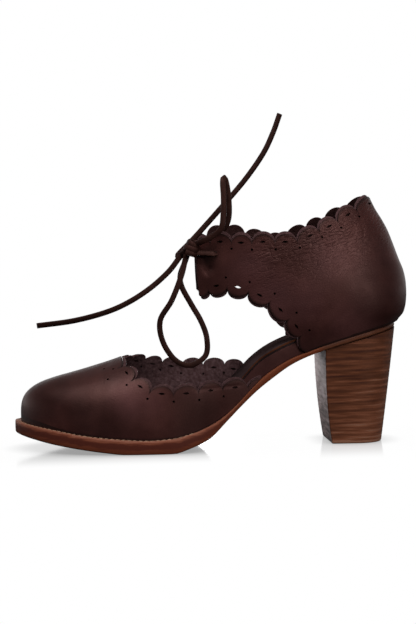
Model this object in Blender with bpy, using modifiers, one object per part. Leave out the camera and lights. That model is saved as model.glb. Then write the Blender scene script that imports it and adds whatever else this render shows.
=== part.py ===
"""High heel shoe with a closed toe, a separate scalloped counter and a thong lace.

A left shoe. +X runs from toe to heel, -Y is the outer (lateral) side, +Z is up.
The shoe stands on z = 0. Tables are in millimetres from a point under the ankle, and placed()
moves them under the middle of the shoe's box and turns them into metres.
"""
import math

import bmesh
import bpy
from mathutils import Vector

MM = 0.001
GAP = 0.3            # clearance that touching pieces keep
WALL = 2.0           # leather and lining of the upper together
LATERAL, MEDIAL = -1, 1
BOX_MIDDLE = (1.45, -1.25, 0.0)     # middle of the shoe without its lace, in the tables' frame
MERGE = 0.00002      # metres: points closer than this are one point
SHOE = "high_heel_shoe"

# Length of the sole and where it is widest
SOLE_TIP_X, SOLE_END_X = -122.5, 117.5
TOE_Y = 6.0
BALL_X = {LATERAL: -28.0, MEDIAL: -48.0}
SEAT_X = 92.0
EDGE_BEVEL = 0.9

# Half breadth of the sole between ball and heel seat
BREADTH_COLUMNS = ("x", "lateral", "medial")
BREADTH = (
    (-48.0, 42.5, 41.0),
    (-28.0, 43.5, 38.5),
    (-12.0, 41.0, 33.0),
    (0.0, 36.5, 28.0),
    (10.0, 31.8, 24.3),
    (20.0, 28.3, 21.8),
    (32.0, 25.8, 20.6),
    (45.0, 24.6, 21.2),
    (58.0, 25.4, 23.6),
    (70.0, 26.8, 26.0),
    (82.0, 27.8, 27.6),
    (92.0, 28.0, 28.0),
    (100.0, 28.0, 28.0),
)

# Height of the sole's underside and top, the ledge outside the upper, and the insole on it
SOLE_COLUMNS = ("x", "bottom", "top", "ledge", "insole")
SOLE = (
    (-122.5, 10.7, 18.2, 3.9, 3.5),
    (-110.0, 8.2, 16.2, 2.9, 3.5),
    (-95.0, 5.3, 13.9, 2.7, 3.5),
    (-80.0, 3.0, 11.3, 2.6, 3.5),
    (-66.0, 1.2, 9.7, 2.5, 3.5),
    (-53.0, 0.0, 8.7, 2.4, 3.6),
    (-40.0, 0.0, 8.0, 2.3, 3.8),
    (-25.0, 0.0, 8.9, 2.2, 4.4),
    (-14.0, 2.9, 11.3, 2.0, 5.4),
    (-3.0, 7.5, 15.2, 1.8, 7.4),
    (7.0, 16.3, 20.7, 1.6, 10.2),
    (17.0, 25.6, 29.2, 1.4, 12.6),
    (28.0, 35.3, 39.9, 1.2, 13.2),
    (38.0, 42.7, 47.6, 1.1, 12.2),
    (50.0, 50.6, 54.2, 0.8, 11.0),
    (60.0, 55.2, 58.0, 0.4, 10.0),
    (70.0, 58.6, 61.5, 0.0, 9.0),
    (92.0, 64.9, 67.9, -0.6, 7.5),
    (118.0, 71.9, 74.9, -1.0, 7.0),
)

# The last over the forefoot: its ridge line and how square its cross-sections are
RIDGE_COLUMNS = ("x", "height", "squareness", "ridge_y")
RIDGE = (
    (-118.0, 38.4, 3.9, 5.0),
    (-105.0, 42.0, 3.3, 5.0),
    (-92.0, 45.5, 2.6, 4.5),
    (-76.0, 49.8, 2.35, 4.0),
    (-55.0, 56.3, 2.3, 3.0),
    (-40.0, 63.0, 2.35, 2.5),
    (-20.0, 75.0, 2.4, 2.0),
    (0.0, 89.0, 2.4, 1.0),
    (20.0, 102.0, 2.4, 0.0),
    (34.0, 110.0, 2.4, 0.0),
)
TOE_CROWN_X = -92.0      # the toe's sections fan out from here
TOE_CROWN_BLEND = 8.0
THROAT_X = -55.0         # front of the throat, on the ridge
TOE_BACK_X = -60.0       # from here on the columns of the vamp stand upright

# Notches between the scallops of the vamp as (x, z) pairs, from the throat to the waist
VAMP_NOTCHES = {
    LATERAL: ((-53.8, 51.5), (-48.3, 44.0), (-37.9, 37.4), (-24.0, 36.2), (-9.0, 36.7),
              (6.1, 37.8), (21.4, 38.4)),
    MEDIAL: ((-53.8, 55.9), (-50.0, 54.9), (-40.6, 52.3), (-29.0, 50.0), (-16.0, 47.6),
             (-2.0, 47.4), (11.5, 47.8), (23.5, 46.0)),
}
VAMP_END_X = 30.5
VAMP_END_Z = 43.4
FLARE_START_X, FLARE_END_X = 31.5, 37.5     # behind the vamp the insole comes out to the open waist
COUNTER_START_X = 51.5                      # from here the insole keeps inside the quarter
WAIST_INSET = 1.2
VAMP_SCALLOP = 0.76      # height of a scallop over half its width
THROAT_CURVE = 0.15      # the plain front of the throat is only slightly curved

# Plan sections of the quarter by height: an oval from the heel's back to the straps' front
QUARTER_COLUMNS = ("z", "back", "centre", "half_width", "front")
QUARTER = (
    (54.0, 114.0, 84.0, 25.2, -14.0),
    (66.0, 117.0, 84.0, 27.2, -14.0),
    (75.0, 119.2, 84.0, 28.8, -14.0),
    (80.5, 123.4, 84.0, 29.4, -14.0),
    (87.0, 125.0, 82.0, 29.9, -14.0),
    (93.0, 125.4, 79.0, 30.0, -14.0),
    (99.0, 125.2, 74.0, 29.8, -14.0),
    (106.0, 124.0, 66.0, 29.2, -14.0),
    (114.0, 121.0, 60.0, 28.4, -14.0),
    (124.0, 117.4, 55.0, 27.6, -14.0),
    (132.0, 114.3, 53.0, 27.2, -14.0),
    (138.0, 111.2, 52.0, 26.2, -14.0),
    (146.0, 106.4, 51.0, 24.6, -14.0),
    (158.0, 101.0, 50.0, 22.6, -14.0),
)
QUARTER_SQUARENESS = 2.35
STRAP_RISE = {LATERAL: 0.0, MEDIAL: 7.0}     # the inner strap is pulled up at its front

# Notches along the collar, from the strap's front backwards, as (x, z, share of the strap's rise)
COLLAR_NOTCHES = (
    (-7.4, 126.0, 1.0),
    (0.9, 127.0, 1.0),
    (13.7, 127.0, 1.0),
    (26.0, 126.1, 0.7),
    (40.0, 126.0, 0.1),
    (53.5, 126.4, 0.1),
    (66.9, 132.2, 0.35),
    (78.9, 137.7, 0.1),
    (91.7, 144.6, 0.0),
)
COLLAR_BACK_Z = 145.4
# Notches along the quarter's lower edge, as (x, z, share of the strap's rise)
LOWER_NOTCHES = (
    (-5.7, 92.3, 1.0),
    (-0.4, 95.3, 1.0),
    (10.5, 96.6, 1.0),
    (22.8, 93.9, 0.8),
    (35.2, 87.6, 0.4),
    (45.8, 77.0, 0.1),
    (53.4, 66.7, 0.0),
)
QUARTER_FOOT_X = 59.5
COLLAR_SCALLOP = 0.87
LOWER_SCALLOP = 0.64

# Heel block, by share of its height from floor to seat
HEEL_COLUMNS = ("share", "breast", "back", "half_width")
HEEL = (
    (0.0, 74.2, 107.8, 20.8),
    (0.2, 72.6, 109.8, 21.8),
    (0.45, 71.2, 112.2, 23.4),
    (0.75, 70.4, 115.0, 25.6),
    (1.0, 70.2, 117.2, 27.4),
)
HEEL_SQUARENESS = 2.3
HEEL_SIDE_X = 92.0
BREAST_SHARE = 0.93      # the breast is a little narrower than the block behind it

# Lace: a flat thong, drawn here as a round cord of about the same section
LACE_RADIUS = 1.4
KNOT_RADIUS = 4.0
STRAP_HOLE_X, STRAP_HOLE_Z = 3.2, 119.0
LACE_SPACING = 7.0
BAR_ROUTE = ((-9.6, -15.6, 120.3), (-7.0, -9.0, 121.0), (-6.0, 0.0, 121.4), (-7.0, 9.0, 121.0),
             (-9.6, 15.6, 120.3))
KNOT_ROUTE = ((-13.6, -8.8, 117.0), (-12.6, -6.6, 120.4), (-11.8, -4.6, 124.6))
END_UP_ROUTE = ((-11.4, -4.2, 125.8), (-4.2, -3.2, 133.2), (10.6, -2.5, 149.2), (25.0, -2.0, 165.4),
                (36.4, -1.5, 181.0), (43.0, -1.0, 194.0), (47.6, -1.0, 206.0))
END_FORE_ROUTE = ((-17.8, -8.2, 117.0), (-24.6, -8.0, 108.6), (-36.0, -8.0, 98.8), (-49.5, -8.0, 90.4),
                  (-64.0, -8.0, 84.4), (-84.0, -7.0, 79.6), (-106.6, -6.0, 77.0))
LOOP_DOWN_ROUTE = ((-14.0, -11.0, 116.4), (-16.8, -12.4, 106.0), (-23.0, -12.4, 91.0),
                   (-30.4, -11.0, 78.6), (-29.0, -9.5, 65.4), (-21.6, -8.6, 53.8), (-12.2, -8.0, 50.2),
                   (-2.6, -7.6, 56.0), (-1.6, -7.4, 67.0), (-5.0, -7.2, 77.6), (-10.6, -7.2, 87.8),
                   (-16.4, -7.4, 99.0), (-17.2, -7.4, 106.4), (-14.2, -7.8, 114.4))
LOOP_UP_ROUTE = ((-11.2, -10.9, 123.1), (-9.2, -16.4, 124.6), (-4.0, -21.4, 126.8), (2.6, -24.4, 129.8),
                 (7.6, -26.0, 134.6), (9.0, -26.0, 143.0), (9.4, -25.4, 153.0), (9.2, -24.2, 162.0),
                 (10.0, -22.4, 165.4), (11.6, -20.8, 162.4), (13.0, -19.6, 152.0), (12.8, -18.6, 141.0),
                 (9.6, -17.0, 134.0), (3.0, -12.6, 130.4), (-3.0, -8.0, 127.6), (-7.4, -5.2, 124.8))

# Fineness of the facets
SCALLOP_STEPS = 6
PANEL_ROWS = 8
TOE_SCALLOPS = 3         # scallops whose columns start round the toe
SOLE_STEPS = 64
HEEL_STEPS = 14
ROUTE_STEPS = 24         # points between two of a cord's own
SOLVE_STEPS = 50
SMALL_STEP = 0.001       # for slopes of a surface

# Colour, roughness of each finish
FINISHES = {
    "upper_leather": ((0.045, 0.026, 0.022), 0.42),
    "sole_leather": ((0.16, 0.045, 0.02), 0.45),
    "heel_stack": ((0.035, 0.014, 0.010), 0.35),
    "sock_leather": ((0.06, 0.045, 0.045), 0.6),
    "lace_leather": ((0.03, 0.017, 0.014), 0.5),
}


def column(rows, columns, name):
    """The values of one named column of a table."""
    index = columns.index(name)
    return [row[index] for row in rows]


def smooth_curve(xs, ys):
    """A smooth function through a table that never overshoots its rows."""
    slopes = [(ys[i + 1] - ys[i]) / (xs[i + 1] - xs[i]) for i in range(len(xs) - 1)]
    tangents = [slopes[0]]
    for before, after in zip(slopes, slopes[1:]):
        tangents.append(0.0 if before * after <= 0 else 2 * before * after / (before + after))
    tangents.append(slopes[-1])

    def value(x):
        if x <= xs[0]:
            return ys[0] + (x - xs[0]) * tangents[0]
        if x >= xs[-1]:
            return ys[-1] + (x - xs[-1]) * tangents[-1]
        i = max(k for k in range(len(xs) - 1) if xs[k] <= x)
        width = xs[i + 1] - xs[i]
        t = (x - xs[i]) / width
        rise = (3 - 2 * t) * t * t
        return (ys[i] * (1 - rise) + ys[i + 1] * rise
                + width * t * (1 - t) * (tangents[i] * (1 - t) - tangents[i + 1] * t))

    return value


def table_curve(rows, columns, name):
    """One column of a table as a smooth function of the table's first column."""
    return smooth_curve([row[0] for row in rows], column(rows, columns, name))


breadth = {LATERAL: table_curve(BREADTH, BREADTH_COLUMNS, "lateral"),
           MEDIAL: table_curve(BREADTH, BREADTH_COLUMNS, "medial")}
sole_bottom = table_curve(SOLE, SOLE_COLUMNS, "bottom")
sole_top = table_curve(SOLE, SOLE_COLUMNS, "top")
ledge = table_curve(SOLE, SOLE_COLUMNS, "ledge")
insole_depth = table_curve(SOLE, SOLE_COLUMNS, "insole")
ridge_height = table_curve(RIDGE, RIDGE_COLUMNS, "height")
squareness = table_curve(RIDGE, RIDGE_COLUMNS, "squareness")
ridge_y = table_curve(RIDGE, RIDGE_COLUMNS, "ridge_y")
back_x = table_curve(QUARTER, QUARTER_COLUMNS, "back")
centre_x = table_curve(QUARTER, QUARTER_COLUMNS, "centre")
quarter_width = table_curve(QUARTER, QUARTER_COLUMNS, "half_width")
front_x = table_curve(QUARTER, QUARTER_COLUMNS, "front")


def outline_y(side, x, inset):
    """Y of the sole's edge at x, moved in by inset all round."""
    tip, end = SOLE_TIP_X + inset, SOLE_END_X - inset
    if x < BALL_X[side]:
        reach = min(1.0, (BALL_X[side] - x) / (BALL_X[side] - tip))
        toe = side * TOE_Y
        return side * (toe + (breadth[side](BALL_X[side]) - inset - toe) * math.sqrt(1 - reach * reach))
    if x > SEAT_X:
        reach = min(1.0, (x - SEAT_X) / (end - SEAT_X))
        return side * (breadth[side](SEAT_X) - inset) * math.sqrt(1 - reach * reach)
    return side * (breadth[side](x) - inset)


def vamp_point(side, x, climb):
    """The outside of the vamp: climb runs from 0 at the sole to 1 on the ridge."""
    crown = TOE_CROWN_X + TOE_CROWN_BLEND * math.log1p(math.exp((x - TOE_CROWN_X) / TOE_CROWN_BLEND))
    foot_y = outline_y(side, x, ledge(x))
    foot_z = sole_top(x) + GAP
    power = 2.0 / squareness(x)
    angle = min(max(climb, 0.0), 1.0) * math.pi / 2
    out = max(math.cos(angle), 0.0) ** power
    px = crown + (x - crown) * out
    py = ridge_y(crown) + (foot_y - ridge_y(crown)) * out
    pz = foot_z + (ridge_height(px) - foot_z) * math.sin(angle) ** power
    return Vector((px, py, pz))


def quarter_point(side, turn, z):
    """The outside of the quarter: turn runs from 0 at the back seam to pi at the strap's front."""
    power = 2.0 / QUARTER_SQUARENESS
    centre = centre_x(z)
    reach = back_x(z) - centre if turn < math.pi / 2 else centre - front_x(z)
    along = math.copysign(abs(math.cos(turn)) ** power, math.cos(turn))
    return Vector((centre + reach * along, side * quarter_width(z) * math.sin(turn) ** power, z))


def quarter_inside_y(x, z, clearance):
    """Half breadth of the room inside the quarter at a place and height."""
    centre = centre_x(z)
    reach = back_x(z) - centre - clearance
    share = min(1.0, max(0.0, x - centre) / reach)
    power = QUARTER_SQUARENESS
    return (quarter_width(z) - clearance) * max(0.0, 1 - share ** power) ** (1 / power)


def solve(target, function, low, high):
    """The argument between low and high where a rising function reaches target."""
    for _ in range(SOLVE_STEPS):
        middle = (low + high) / 2
        if function(middle) < target:
            low = middle
        else:
            high = middle
    return (low + high) / 2


def quarter_turn(x, z):
    """The turn at which the quarter passes x at height z."""
    return solve(-x, lambda turn: -quarter_point(LATERAL, turn, z).x, 0.0, math.pi)


def vamp_climb(side, x, z):
    """The climb at which the vamp's section at x reaches height z."""
    return solve(z, lambda climb: vamp_point(side, x, climb).z, 0.0, 1.0)


def scallop(surface, start, end, fullness, outward):
    """Points of one scallop on a surface, from one notch to the next, without the last."""
    middle = ((start[0] + end[0]) / 2, (start[1] + end[1]) / 2)
    chord = (end[0] - start[0], end[1] - start[1])
    origin = surface(*middle)
    first = (surface(middle[0] + SMALL_STEP, middle[1]) - origin) / SMALL_STEP
    second = (surface(middle[0], middle[1] + SMALL_STEP) - origin) / SMALL_STEP
    chord_3d = first * chord[0] + second * chord[1]
    normal = first.cross(second)
    across = normal.cross(chord_3d).normalized() * (chord_3d.length / 2 * fullness * outward)
    # Solve the surface's own two directions for the step across the chord
    aa, ab, bb = first.dot(first), first.dot(second), second.dot(second)
    ca, cb = across.dot(first), across.dot(second)
    det = aa * bb - ab * ab
    bulge = ((ca * bb - cb * ab) / det, (cb * aa - ca * ab) / det)
    points = []
    for k in range(SCALLOP_STEPS):
        angle = math.pi * k / SCALLOP_STEPS
        along, rise = -math.cos(angle) / 2, math.sin(angle)
        points.append((middle[0] + chord[0] * along + bulge[0] * rise,
                       middle[1] + chord[1] * along + bulge[1] * rise))
    return points


def scalloped_edge(surface, notches, fullness, outward):
    """A whole scalloped edge through its notches."""
    points = []
    for start, end in zip(notches, notches[1:]):
        points += scallop(surface, start, end, fullness, outward)
    return points + [notches[-1]]


def vamp_edges(side):
    """Lower and upper edge of one half of the vamp, as (x, climb) pairs from toe to waist."""
    def surface(x, climb):
        return vamp_point(side, x, climb)

    notches = [(THROAT_X, 1.0)]
    notches += [(x, vamp_climb(side, x, z)) for x, z in VAMP_NOTCHES[side]]
    notches.append((VAMP_END_X, vamp_climb(side, VAMP_END_X, VAMP_END_Z)))
    throat = scallop(surface, notches[0], notches[1], THROAT_CURVE, 1)
    throat += scalloped_edge(surface, notches[1:], VAMP_SCALLOP, 1)
    upper = [(x, min(climb, 1.0)) for x, climb in throat]
    tip = SOLE_TIP_X + ledge(SOLE_TIP_X)
    toe_steps = TOE_SCALLOPS * SCALLOP_STEPS
    side_steps = len(upper) - 1 - toe_steps
    lower = [(tip + (TOE_BACK_X - tip) * (1 - math.cos(math.pi / 2 * k / toe_steps)), 0.0)
             for k in range(toe_steps)]
    lower += [(TOE_BACK_X + (VAMP_END_X - TOE_BACK_X) * k / side_steps, 0.0) for k in range(side_steps + 1)]
    return lower, upper


def vamp_columns(side):
    """Columns of points from sole to throat: over the crown at the toe, straight up at the sides."""
    lower, upper = vamp_edges(side)
    toe_steps = TOE_SCALLOPS * SCALLOP_STEPS
    columns = []
    for k, (low, high) in enumerate(zip(lower, upper)):
        straight = min(1.0, k / toe_steps)
        points = []
        for row in range(PANEL_ROWS + 1):
            share = row / PANEL_ROWS
            rise, run = min(1.0, 2 * share), max(0.0, 2 * share - 1)
            rise += (share - rise) * straight
            run += (share - run) * straight
            points.append(vamp_point(side, low[0] + (high[0] - low[0]) * run, high[1] * rise))
        columns.append(points)
    return columns


def quarter_edges(side):
    """Lower and upper edge of one half of the quarter, as (turn, z) pairs from strap to back."""
    def surface(turn, z):
        return quarter_point(side, turn, z)

    rise = STRAP_RISE[side]
    collar = [(quarter_turn(x, z + rise * share), z + rise * share) for x, z, share in COLLAR_NOTCHES]
    collar.append((0.0, COLLAR_BACK_Z))
    upper = scalloped_edge(surface, collar, COLLAR_SCALLOP, -1)
    lower_notches = [(quarter_turn(x, z + rise * share), z + rise * share) for x, z, share in LOWER_NOTCHES]
    foot_z = sole_top(QUARTER_FOOT_X) + GAP
    foot = (quarter_turn(QUARTER_FOOT_X, foot_z), foot_z)
    lower = scalloped_edge(surface, lower_notches + [foot], LOWER_SCALLOP, 1)
    steps = len(upper) - len(lower)
    for k in range(1, steps + 1):
        turn = foot[0] * (1 - k / steps)
        z = solve(GAP, lambda level: level - sole_top(quarter_point(side, turn, level).x),
                  QUARTER[0][0], COLLAR_BACK_Z)
        lower.append((turn, z))
    return lower, upper


def placed(point):
    """A point of the tables in the shoe's own frame, in metres."""
    return (Vector(point) - Vector(BOX_MIDDLE)) * MM


def make_material(name):
    """A plain finish for one piece."""
    colour, roughness = FINISHES[name]
    material = bpy.data.materials.new(name)
    material.use_nodes = True
    shader = material.node_tree.nodes["Principled BSDF"]
    shader.inputs["Base Color"].default_value = (*colour, 1.0)
    shader.inputs["Roughness"].default_value = roughness
    return material


def add_object(name, data, collection, material):
    """Link one named piece with its own finish."""
    piece = bpy.data.objects.new(name, data)
    piece.data.materials.append(material.copy())
    collection.objects.link(piece)
    return piece


def mesh_from_grid(name, grid, closed):
    """A mesh of quads over rows of points, closed around each row where asked, doubles merged."""
    bm = bmesh.new()
    rows = [[bm.verts.new(placed(point)) for point in row] for row in grid]
    for lower, upper in zip(rows, rows[1:]):
        count = len(lower)
        for k in range(count if closed else count - 1):
            n = (k + 1) % count
            bm.faces.new((lower[k], lower[n], upper[n], upper[k]))
    if closed:
        bm.faces.new(list(reversed(rows[0])))
        bm.faces.new(rows[-1])
    bmesh.ops.remove_doubles(bm, verts=bm.verts, dist=MERGE)
    bmesh.ops.dissolve_degenerate(bm, dist=MERGE, edges=bm.edges)
    bmesh.ops.recalc_face_normals(bm, faces=bm.faces)
    mesh = bpy.data.meshes.new(name)
    bm.to_mesh(mesh)
    bm.free()
    mesh.shade_smooth()
    return mesh


def panel_columns(surface, lower, upper):
    """Columns of points on a surface between its lower and upper edge."""
    columns = []
    for low, high in zip(lower, upper):
        column_points = []
        for row in range(PANEL_ROWS + 1):
            share = row / PANEL_ROWS
            column_points.append(surface(low[0] + (high[0] - low[0]) * share,
                                         low[1] + (high[1] - low[1]) * share))
        columns.append(column_points)
    return columns


def add_shell(name, columns, collection, material):
    """A leather wall: an open surface thickened inwards."""
    mesh = mesh_from_grid(name, columns, closed=False)
    middle = mesh.polygons[len(mesh.polygons) // 2]
    if middle.normal.dot(middle.center - Vector((0.0, 0.0, middle.center.z))) < 0:
        mesh.flip_normals()
    piece = add_object(name, mesh, collection, material)
    wall = piece.modifiers.new("wall", "SOLIDIFY")
    wall.thickness = WALL * MM
    wall.offset = -1.0
    return piece


def add_vamp(collection, material):
    """The toe piece, open at the throat and underneath."""
    columns = list(reversed(vamp_columns(LATERAL))) + vamp_columns(MEDIAL)[1:]
    return add_shell("vamp", columns, collection, material)


def add_quarter(collection, material):
    """The counter with both ankle straps, open in front and underneath."""
    halves = {}
    for side in (LATERAL, MEDIAL):
        lower, upper = quarter_edges(side)
        halves[side] = panel_columns(lambda turn, z: quarter_point(side, turn, z), lower, upper)
    columns = halves[LATERAL] + list(reversed(halves[MEDIAL]))[1:]
    return add_shell("quarter", columns, collection, material)


def stations(start, end, count):
    """Places along the shoe, closer together at both round ends."""
    inner = [start + (end - start) * (1 - math.cos(math.pi * k / count)) / 2 for k in range(1, count)]
    return [start, *inner, end]


def sole_ring(x, inset, low, high, bevel):
    """Cross-section of a sole-like layer at x, with a bevelled lower edge."""
    left, right = outline_y(LATERAL, x, inset), outline_y(MEDIAL, x, inset)
    bevel = min(bevel, (right - left) / 2)
    return [(x, left + bevel, low), (x, right - bevel, low), (x, right, low + bevel), (x, right, high),
            (x, left, high), (x, left, low + bevel)]


def add_outsole(collection, material):
    """The leather outsole, thick at the forefoot and thin over the waist and heel seat."""
    rings = [sole_ring(x, 0.0, sole_bottom(x), sole_top(x), EDGE_BEVEL)
             for x in stations(SOLE_TIP_X, SOLE_END_X, SOLE_STEPS)]
    return add_object("outsole", mesh_from_grid("outsole", rings, closed=True), collection, material)


def insole_inset(x):
    """How far the insole's edge lies inside the sole's: within the vamp, then flush at the open waist."""
    inside_wall = ledge(x) + WALL + 2 * GAP
    share = min(1.0, max(0.0, (x - FLARE_START_X) / (FLARE_END_X - FLARE_START_X)))
    return inside_wall + (WAIST_INSET - inside_wall) * share


def insole_edge_y(side, x, low, high):
    """Y of the insole's edge, which stays inside both parts of the upper."""
    y = outline_y(side, x, insole_inset(x))
    if x > COUNTER_START_X:
        clearance = WALL + 2 * GAP
        room = min(quarter_inside_y(x, low, clearance), quarter_inside_y(x, high, clearance))
        y = side * min(abs(y), room)
    return y


def add_insole(collection, material):
    """The insole, with a deep wrapped edge where the waist is open."""
    tip = SOLE_TIP_X + insole_inset(SOLE_TIP_X)
    end_level = sole_top(SOLE_END_X) + GAP
    end = min(back_x(end_level) - WALL - 2 * GAP, SOLE_END_X - insole_inset(SOLE_END_X))
    rings = []
    between = [x for x in stations(SOLE_TIP_X, SOLE_END_X, SOLE_STEPS) if tip < x < end]
    for x in sorted([tip, *between, FLARE_START_X, FLARE_END_X, end]):
        low = sole_top(x) + GAP
        high = low + insole_depth(x)
        left = insole_edge_y(LATERAL, x, low, high)
        right = insole_edge_y(MEDIAL, x, low, high)
        if x in (tip, end):
            left = right = (left + right) / 2
        bevel = min(EDGE_BEVEL, (right - left) / 2)
        rings.append([(x, left, low), (x, right, low), (x, right, high - bevel), (x, right - bevel, high),
                      (x, left + bevel, high), (x, left, high - bevel)])
    return add_object("insole", mesh_from_grid("insole", rings, closed=True), collection, material)


def heel_outline(breast, back, half_width, side_x):
    """Plan of the heel block: a flat breast, then round the back, as (x, y) pairs."""
    points = [(breast, -half_width * BREAST_SHARE)]
    power = 2.0 / HEEL_SQUARENESS
    for k in range(HEEL_STEPS + 1):
        angle = math.pi * (k / HEEL_STEPS - 0.5)
        along = abs(math.cos(angle)) ** power
        across = math.copysign(abs(math.sin(angle)) ** power, math.sin(angle))
        points.append((side_x + (back - side_x) * along, half_width * across))
    return points + [(breast, half_width * BREAST_SHARE)]


def add_heel(collection, material):
    """The stacked heel block under the seat."""
    breast = table_curve(HEEL, HEEL_COLUMNS, "breast")
    back = table_curve(HEEL, HEEL_COLUMNS, "back")
    half_width = table_curve(HEEL, HEEL_COLUMNS, "half_width")
    rings = []
    for share in column(HEEL, HEEL_COLUMNS, "share"):
        side_x = HEEL_SIDE_X * share + (breast(0.0) + back(0.0)) / 2 * (1 - share)
        outline = heel_outline(breast(share), back(share), half_width(share), side_x)
        rings.append([(x, y, share * (sole_bottom(x) - GAP)) for x, y in outline])
    return add_object("heel", mesh_from_grid("heel", rings, closed=True), collection, material)


def smooth_route(points, spacing):
    """Evenly spaced points on a smooth curve through a cord's own route."""
    route = [Vector(point) for point in points]
    ends = [route[0] * 2 - route[1]] + route + [route[-1] * 2 - route[-2]]
    dense = []
    for a, b, c, d in zip(ends, ends[1:], ends[2:], ends[3:]):
        for k in range(ROUTE_STEPS):
            t = k / ROUTE_STEPS
            dense.append(0.5 * (2 * b + (c - a) * t + (2 * a - 5 * b + 4 * c - d) * t * t
                                + (3 * b - a - 3 * c + d) * t ** 3))
    dense.append(route[-1])
    lengths = [0.0]
    for before, after in zip(dense, dense[1:]):
        lengths.append(lengths[-1] + (after - before).length)
    count = max(2, round(lengths[-1] / spacing))
    picked = []
    for k in range(count + 1):
        target = lengths[-1] * k / count
        i = max(j for j in range(len(dense)) if lengths[j] <= target + 1e-9)
        picked.append(dense[i])
    return picked


def add_cord(name, route, radius, spacing, collection, material):
    """A stretch of cord as a capped tube."""
    curve = bpy.data.curves.new(name, "CURVE")
    curve.dimensions = "3D"
    curve.bevel_depth = radius * MM
    curve.bevel_resolution = 2
    curve.use_fill_caps = True
    points = smooth_route(route, spacing)
    spline = curve.splines.new("POLY")
    spline.points.add(len(points) - 1)
    for target, point in zip(spline.points, points):
        target.co = (*placed(point), 1.0)
    return add_object(name, curve, collection, material)


def strap_rest(side, x, z):
    """A place for the lace just outside a strap."""
    turn = quarter_turn(x, z)
    here = quarter_point(side, turn, z)
    along = quarter_point(side, turn + SMALL_STEP, z) - here
    up = quarter_point(side, turn, z + SMALL_STEP) - here
    outward = along.cross(up).normalized() * side
    if outward.y * side < 0:
        outward.negate()
    return tuple(here + outward * (LACE_RADIUS + GAP))


def add_lace(collection, material):
    """The tied bar between the straps, then the knot, two loops and two ends of the thong."""
    bar = [strap_rest(LATERAL, STRAP_HOLE_X, STRAP_HOLE_Z), *BAR_ROUTE,
           strap_rest(MEDIAL, STRAP_HOLE_X, STRAP_HOLE_Z)]
    add_cord("lace_bar", bar, LACE_RADIUS, LACE_SPACING, collection, material)
    add_cord("lace_knot", KNOT_ROUTE, KNOT_RADIUS, KNOT_RADIUS, collection, material)
    add_cord("lace_end_up", END_UP_ROUTE, LACE_RADIUS, LACE_SPACING, collection, material)
    add_cord("lace_end_fore", END_FORE_ROUTE, LACE_RADIUS, LACE_SPACING, collection, material)
    add_cord("lace_loop_down", LOOP_DOWN_ROUTE, LACE_RADIUS, LACE_SPACING, collection, material)
    add_cord("lace_loop_up", LOOP_UP_ROUTE, LACE_RADIUS, LACE_SPACING, collection, material)


def main():
    """Build every piece of the shoe."""
    for old in list(bpy.data.objects):
        bpy.data.objects.remove(old)
    shoe = bpy.data.collections.new(SHOE)
    bpy.context.scene.collection.children.link(shoe)
    add_outsole(shoe, make_material("sole_leather"))
    add_insole(shoe, make_material("sock_leather"))
    add_heel(shoe, make_material("heel_stack"))
    add_vamp(shoe, make_material("upper_leather"))
    add_quarter(shoe, make_material("upper_leather"))
    add_lace(shoe, make_material("lace_leather"))


main()
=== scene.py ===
"""Looks of a left high heel shoe: scalloped leather upper, stacked heel and a tied thong lace.

Tables are in millimetres from a point under the ankle, as in the part's source. placed() moves
them under the middle of the shoe's box and turns them into metres. +X runs from toe to heel,
-Y is the outer side of the foot, +Z is up.
"""
import bisect
import math

import bmesh
import bpy
from mathutils import Matrix, Vector


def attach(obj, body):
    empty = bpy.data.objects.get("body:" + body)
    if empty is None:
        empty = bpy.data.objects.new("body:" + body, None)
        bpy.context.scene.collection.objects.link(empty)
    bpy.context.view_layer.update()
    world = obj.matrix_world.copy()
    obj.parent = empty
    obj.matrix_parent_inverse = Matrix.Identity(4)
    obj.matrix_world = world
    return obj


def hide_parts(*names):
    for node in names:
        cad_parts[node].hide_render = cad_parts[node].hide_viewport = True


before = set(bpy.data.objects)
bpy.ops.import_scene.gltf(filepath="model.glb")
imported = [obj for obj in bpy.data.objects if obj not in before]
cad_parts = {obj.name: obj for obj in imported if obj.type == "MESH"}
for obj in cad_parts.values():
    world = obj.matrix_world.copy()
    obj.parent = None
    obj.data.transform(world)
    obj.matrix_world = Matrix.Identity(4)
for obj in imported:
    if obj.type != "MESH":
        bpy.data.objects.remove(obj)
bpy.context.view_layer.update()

MM = 0.001
GAP = 0.3                # between the solids' pieces
WALL = 2.0               # of the solids' hollow upper
TINY = 1e-9
LATERAL, MEDIAL = -1, 1
BOX_MIDDLE = (1.45, -1.25, 0.0)

# Photograph: frame in pixels, focal length in pixels, and where the camera stood
FRAME_HEIGHT = 624
FOCAL_PX = 1273.6
SENSOR_MM = 36.0
CAMERA_AT = (-48.84, -798.5, 112.3)
CAMERA_YAW = math.radians(3.5)
CAMERA_DROP = math.radians(2.11)
CAMERA_ROLL = math.radians(-1.23)

# Walls of the upper: outer leather, a hair of glue, then the lining that shows past its edge
LEATHER = 1.1
LINING = 0.8
LAYER_GAP = 0.05
WEB = 0.2                # what is left of the lining in its blind cut-outs
WEB_DEPTH = LEATHER + LAYER_GAP + 0.3
LEATHER_MARGIN = -1.7    # the leather's scallops stop short of the lining's by this much
NOTCH_SHARE = 1.2        # its notches stop short by a little more
EDGE_ROUND = 0.2
RIM = ((0.2, 0.7), (0.5, 1.0), (0.8, 0.7))   # round edge: share of the thickness, of the bulge
NOTCH_FLOOR = 0.15       # the least height of a scallop, at its notch
EDGE_FADE = 0.9          # the leather is painted darker, as painted shade, within about this much of a cut edge

# Length of the sole and where it is widest
SOLE_TIP_X, SOLE_END_X = -122.5, 117.5
TOE_Y = 6.0
BALL_X = {LATERAL: -28.0, MEDIAL: -48.0}
SEAT_X = 92.0

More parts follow.
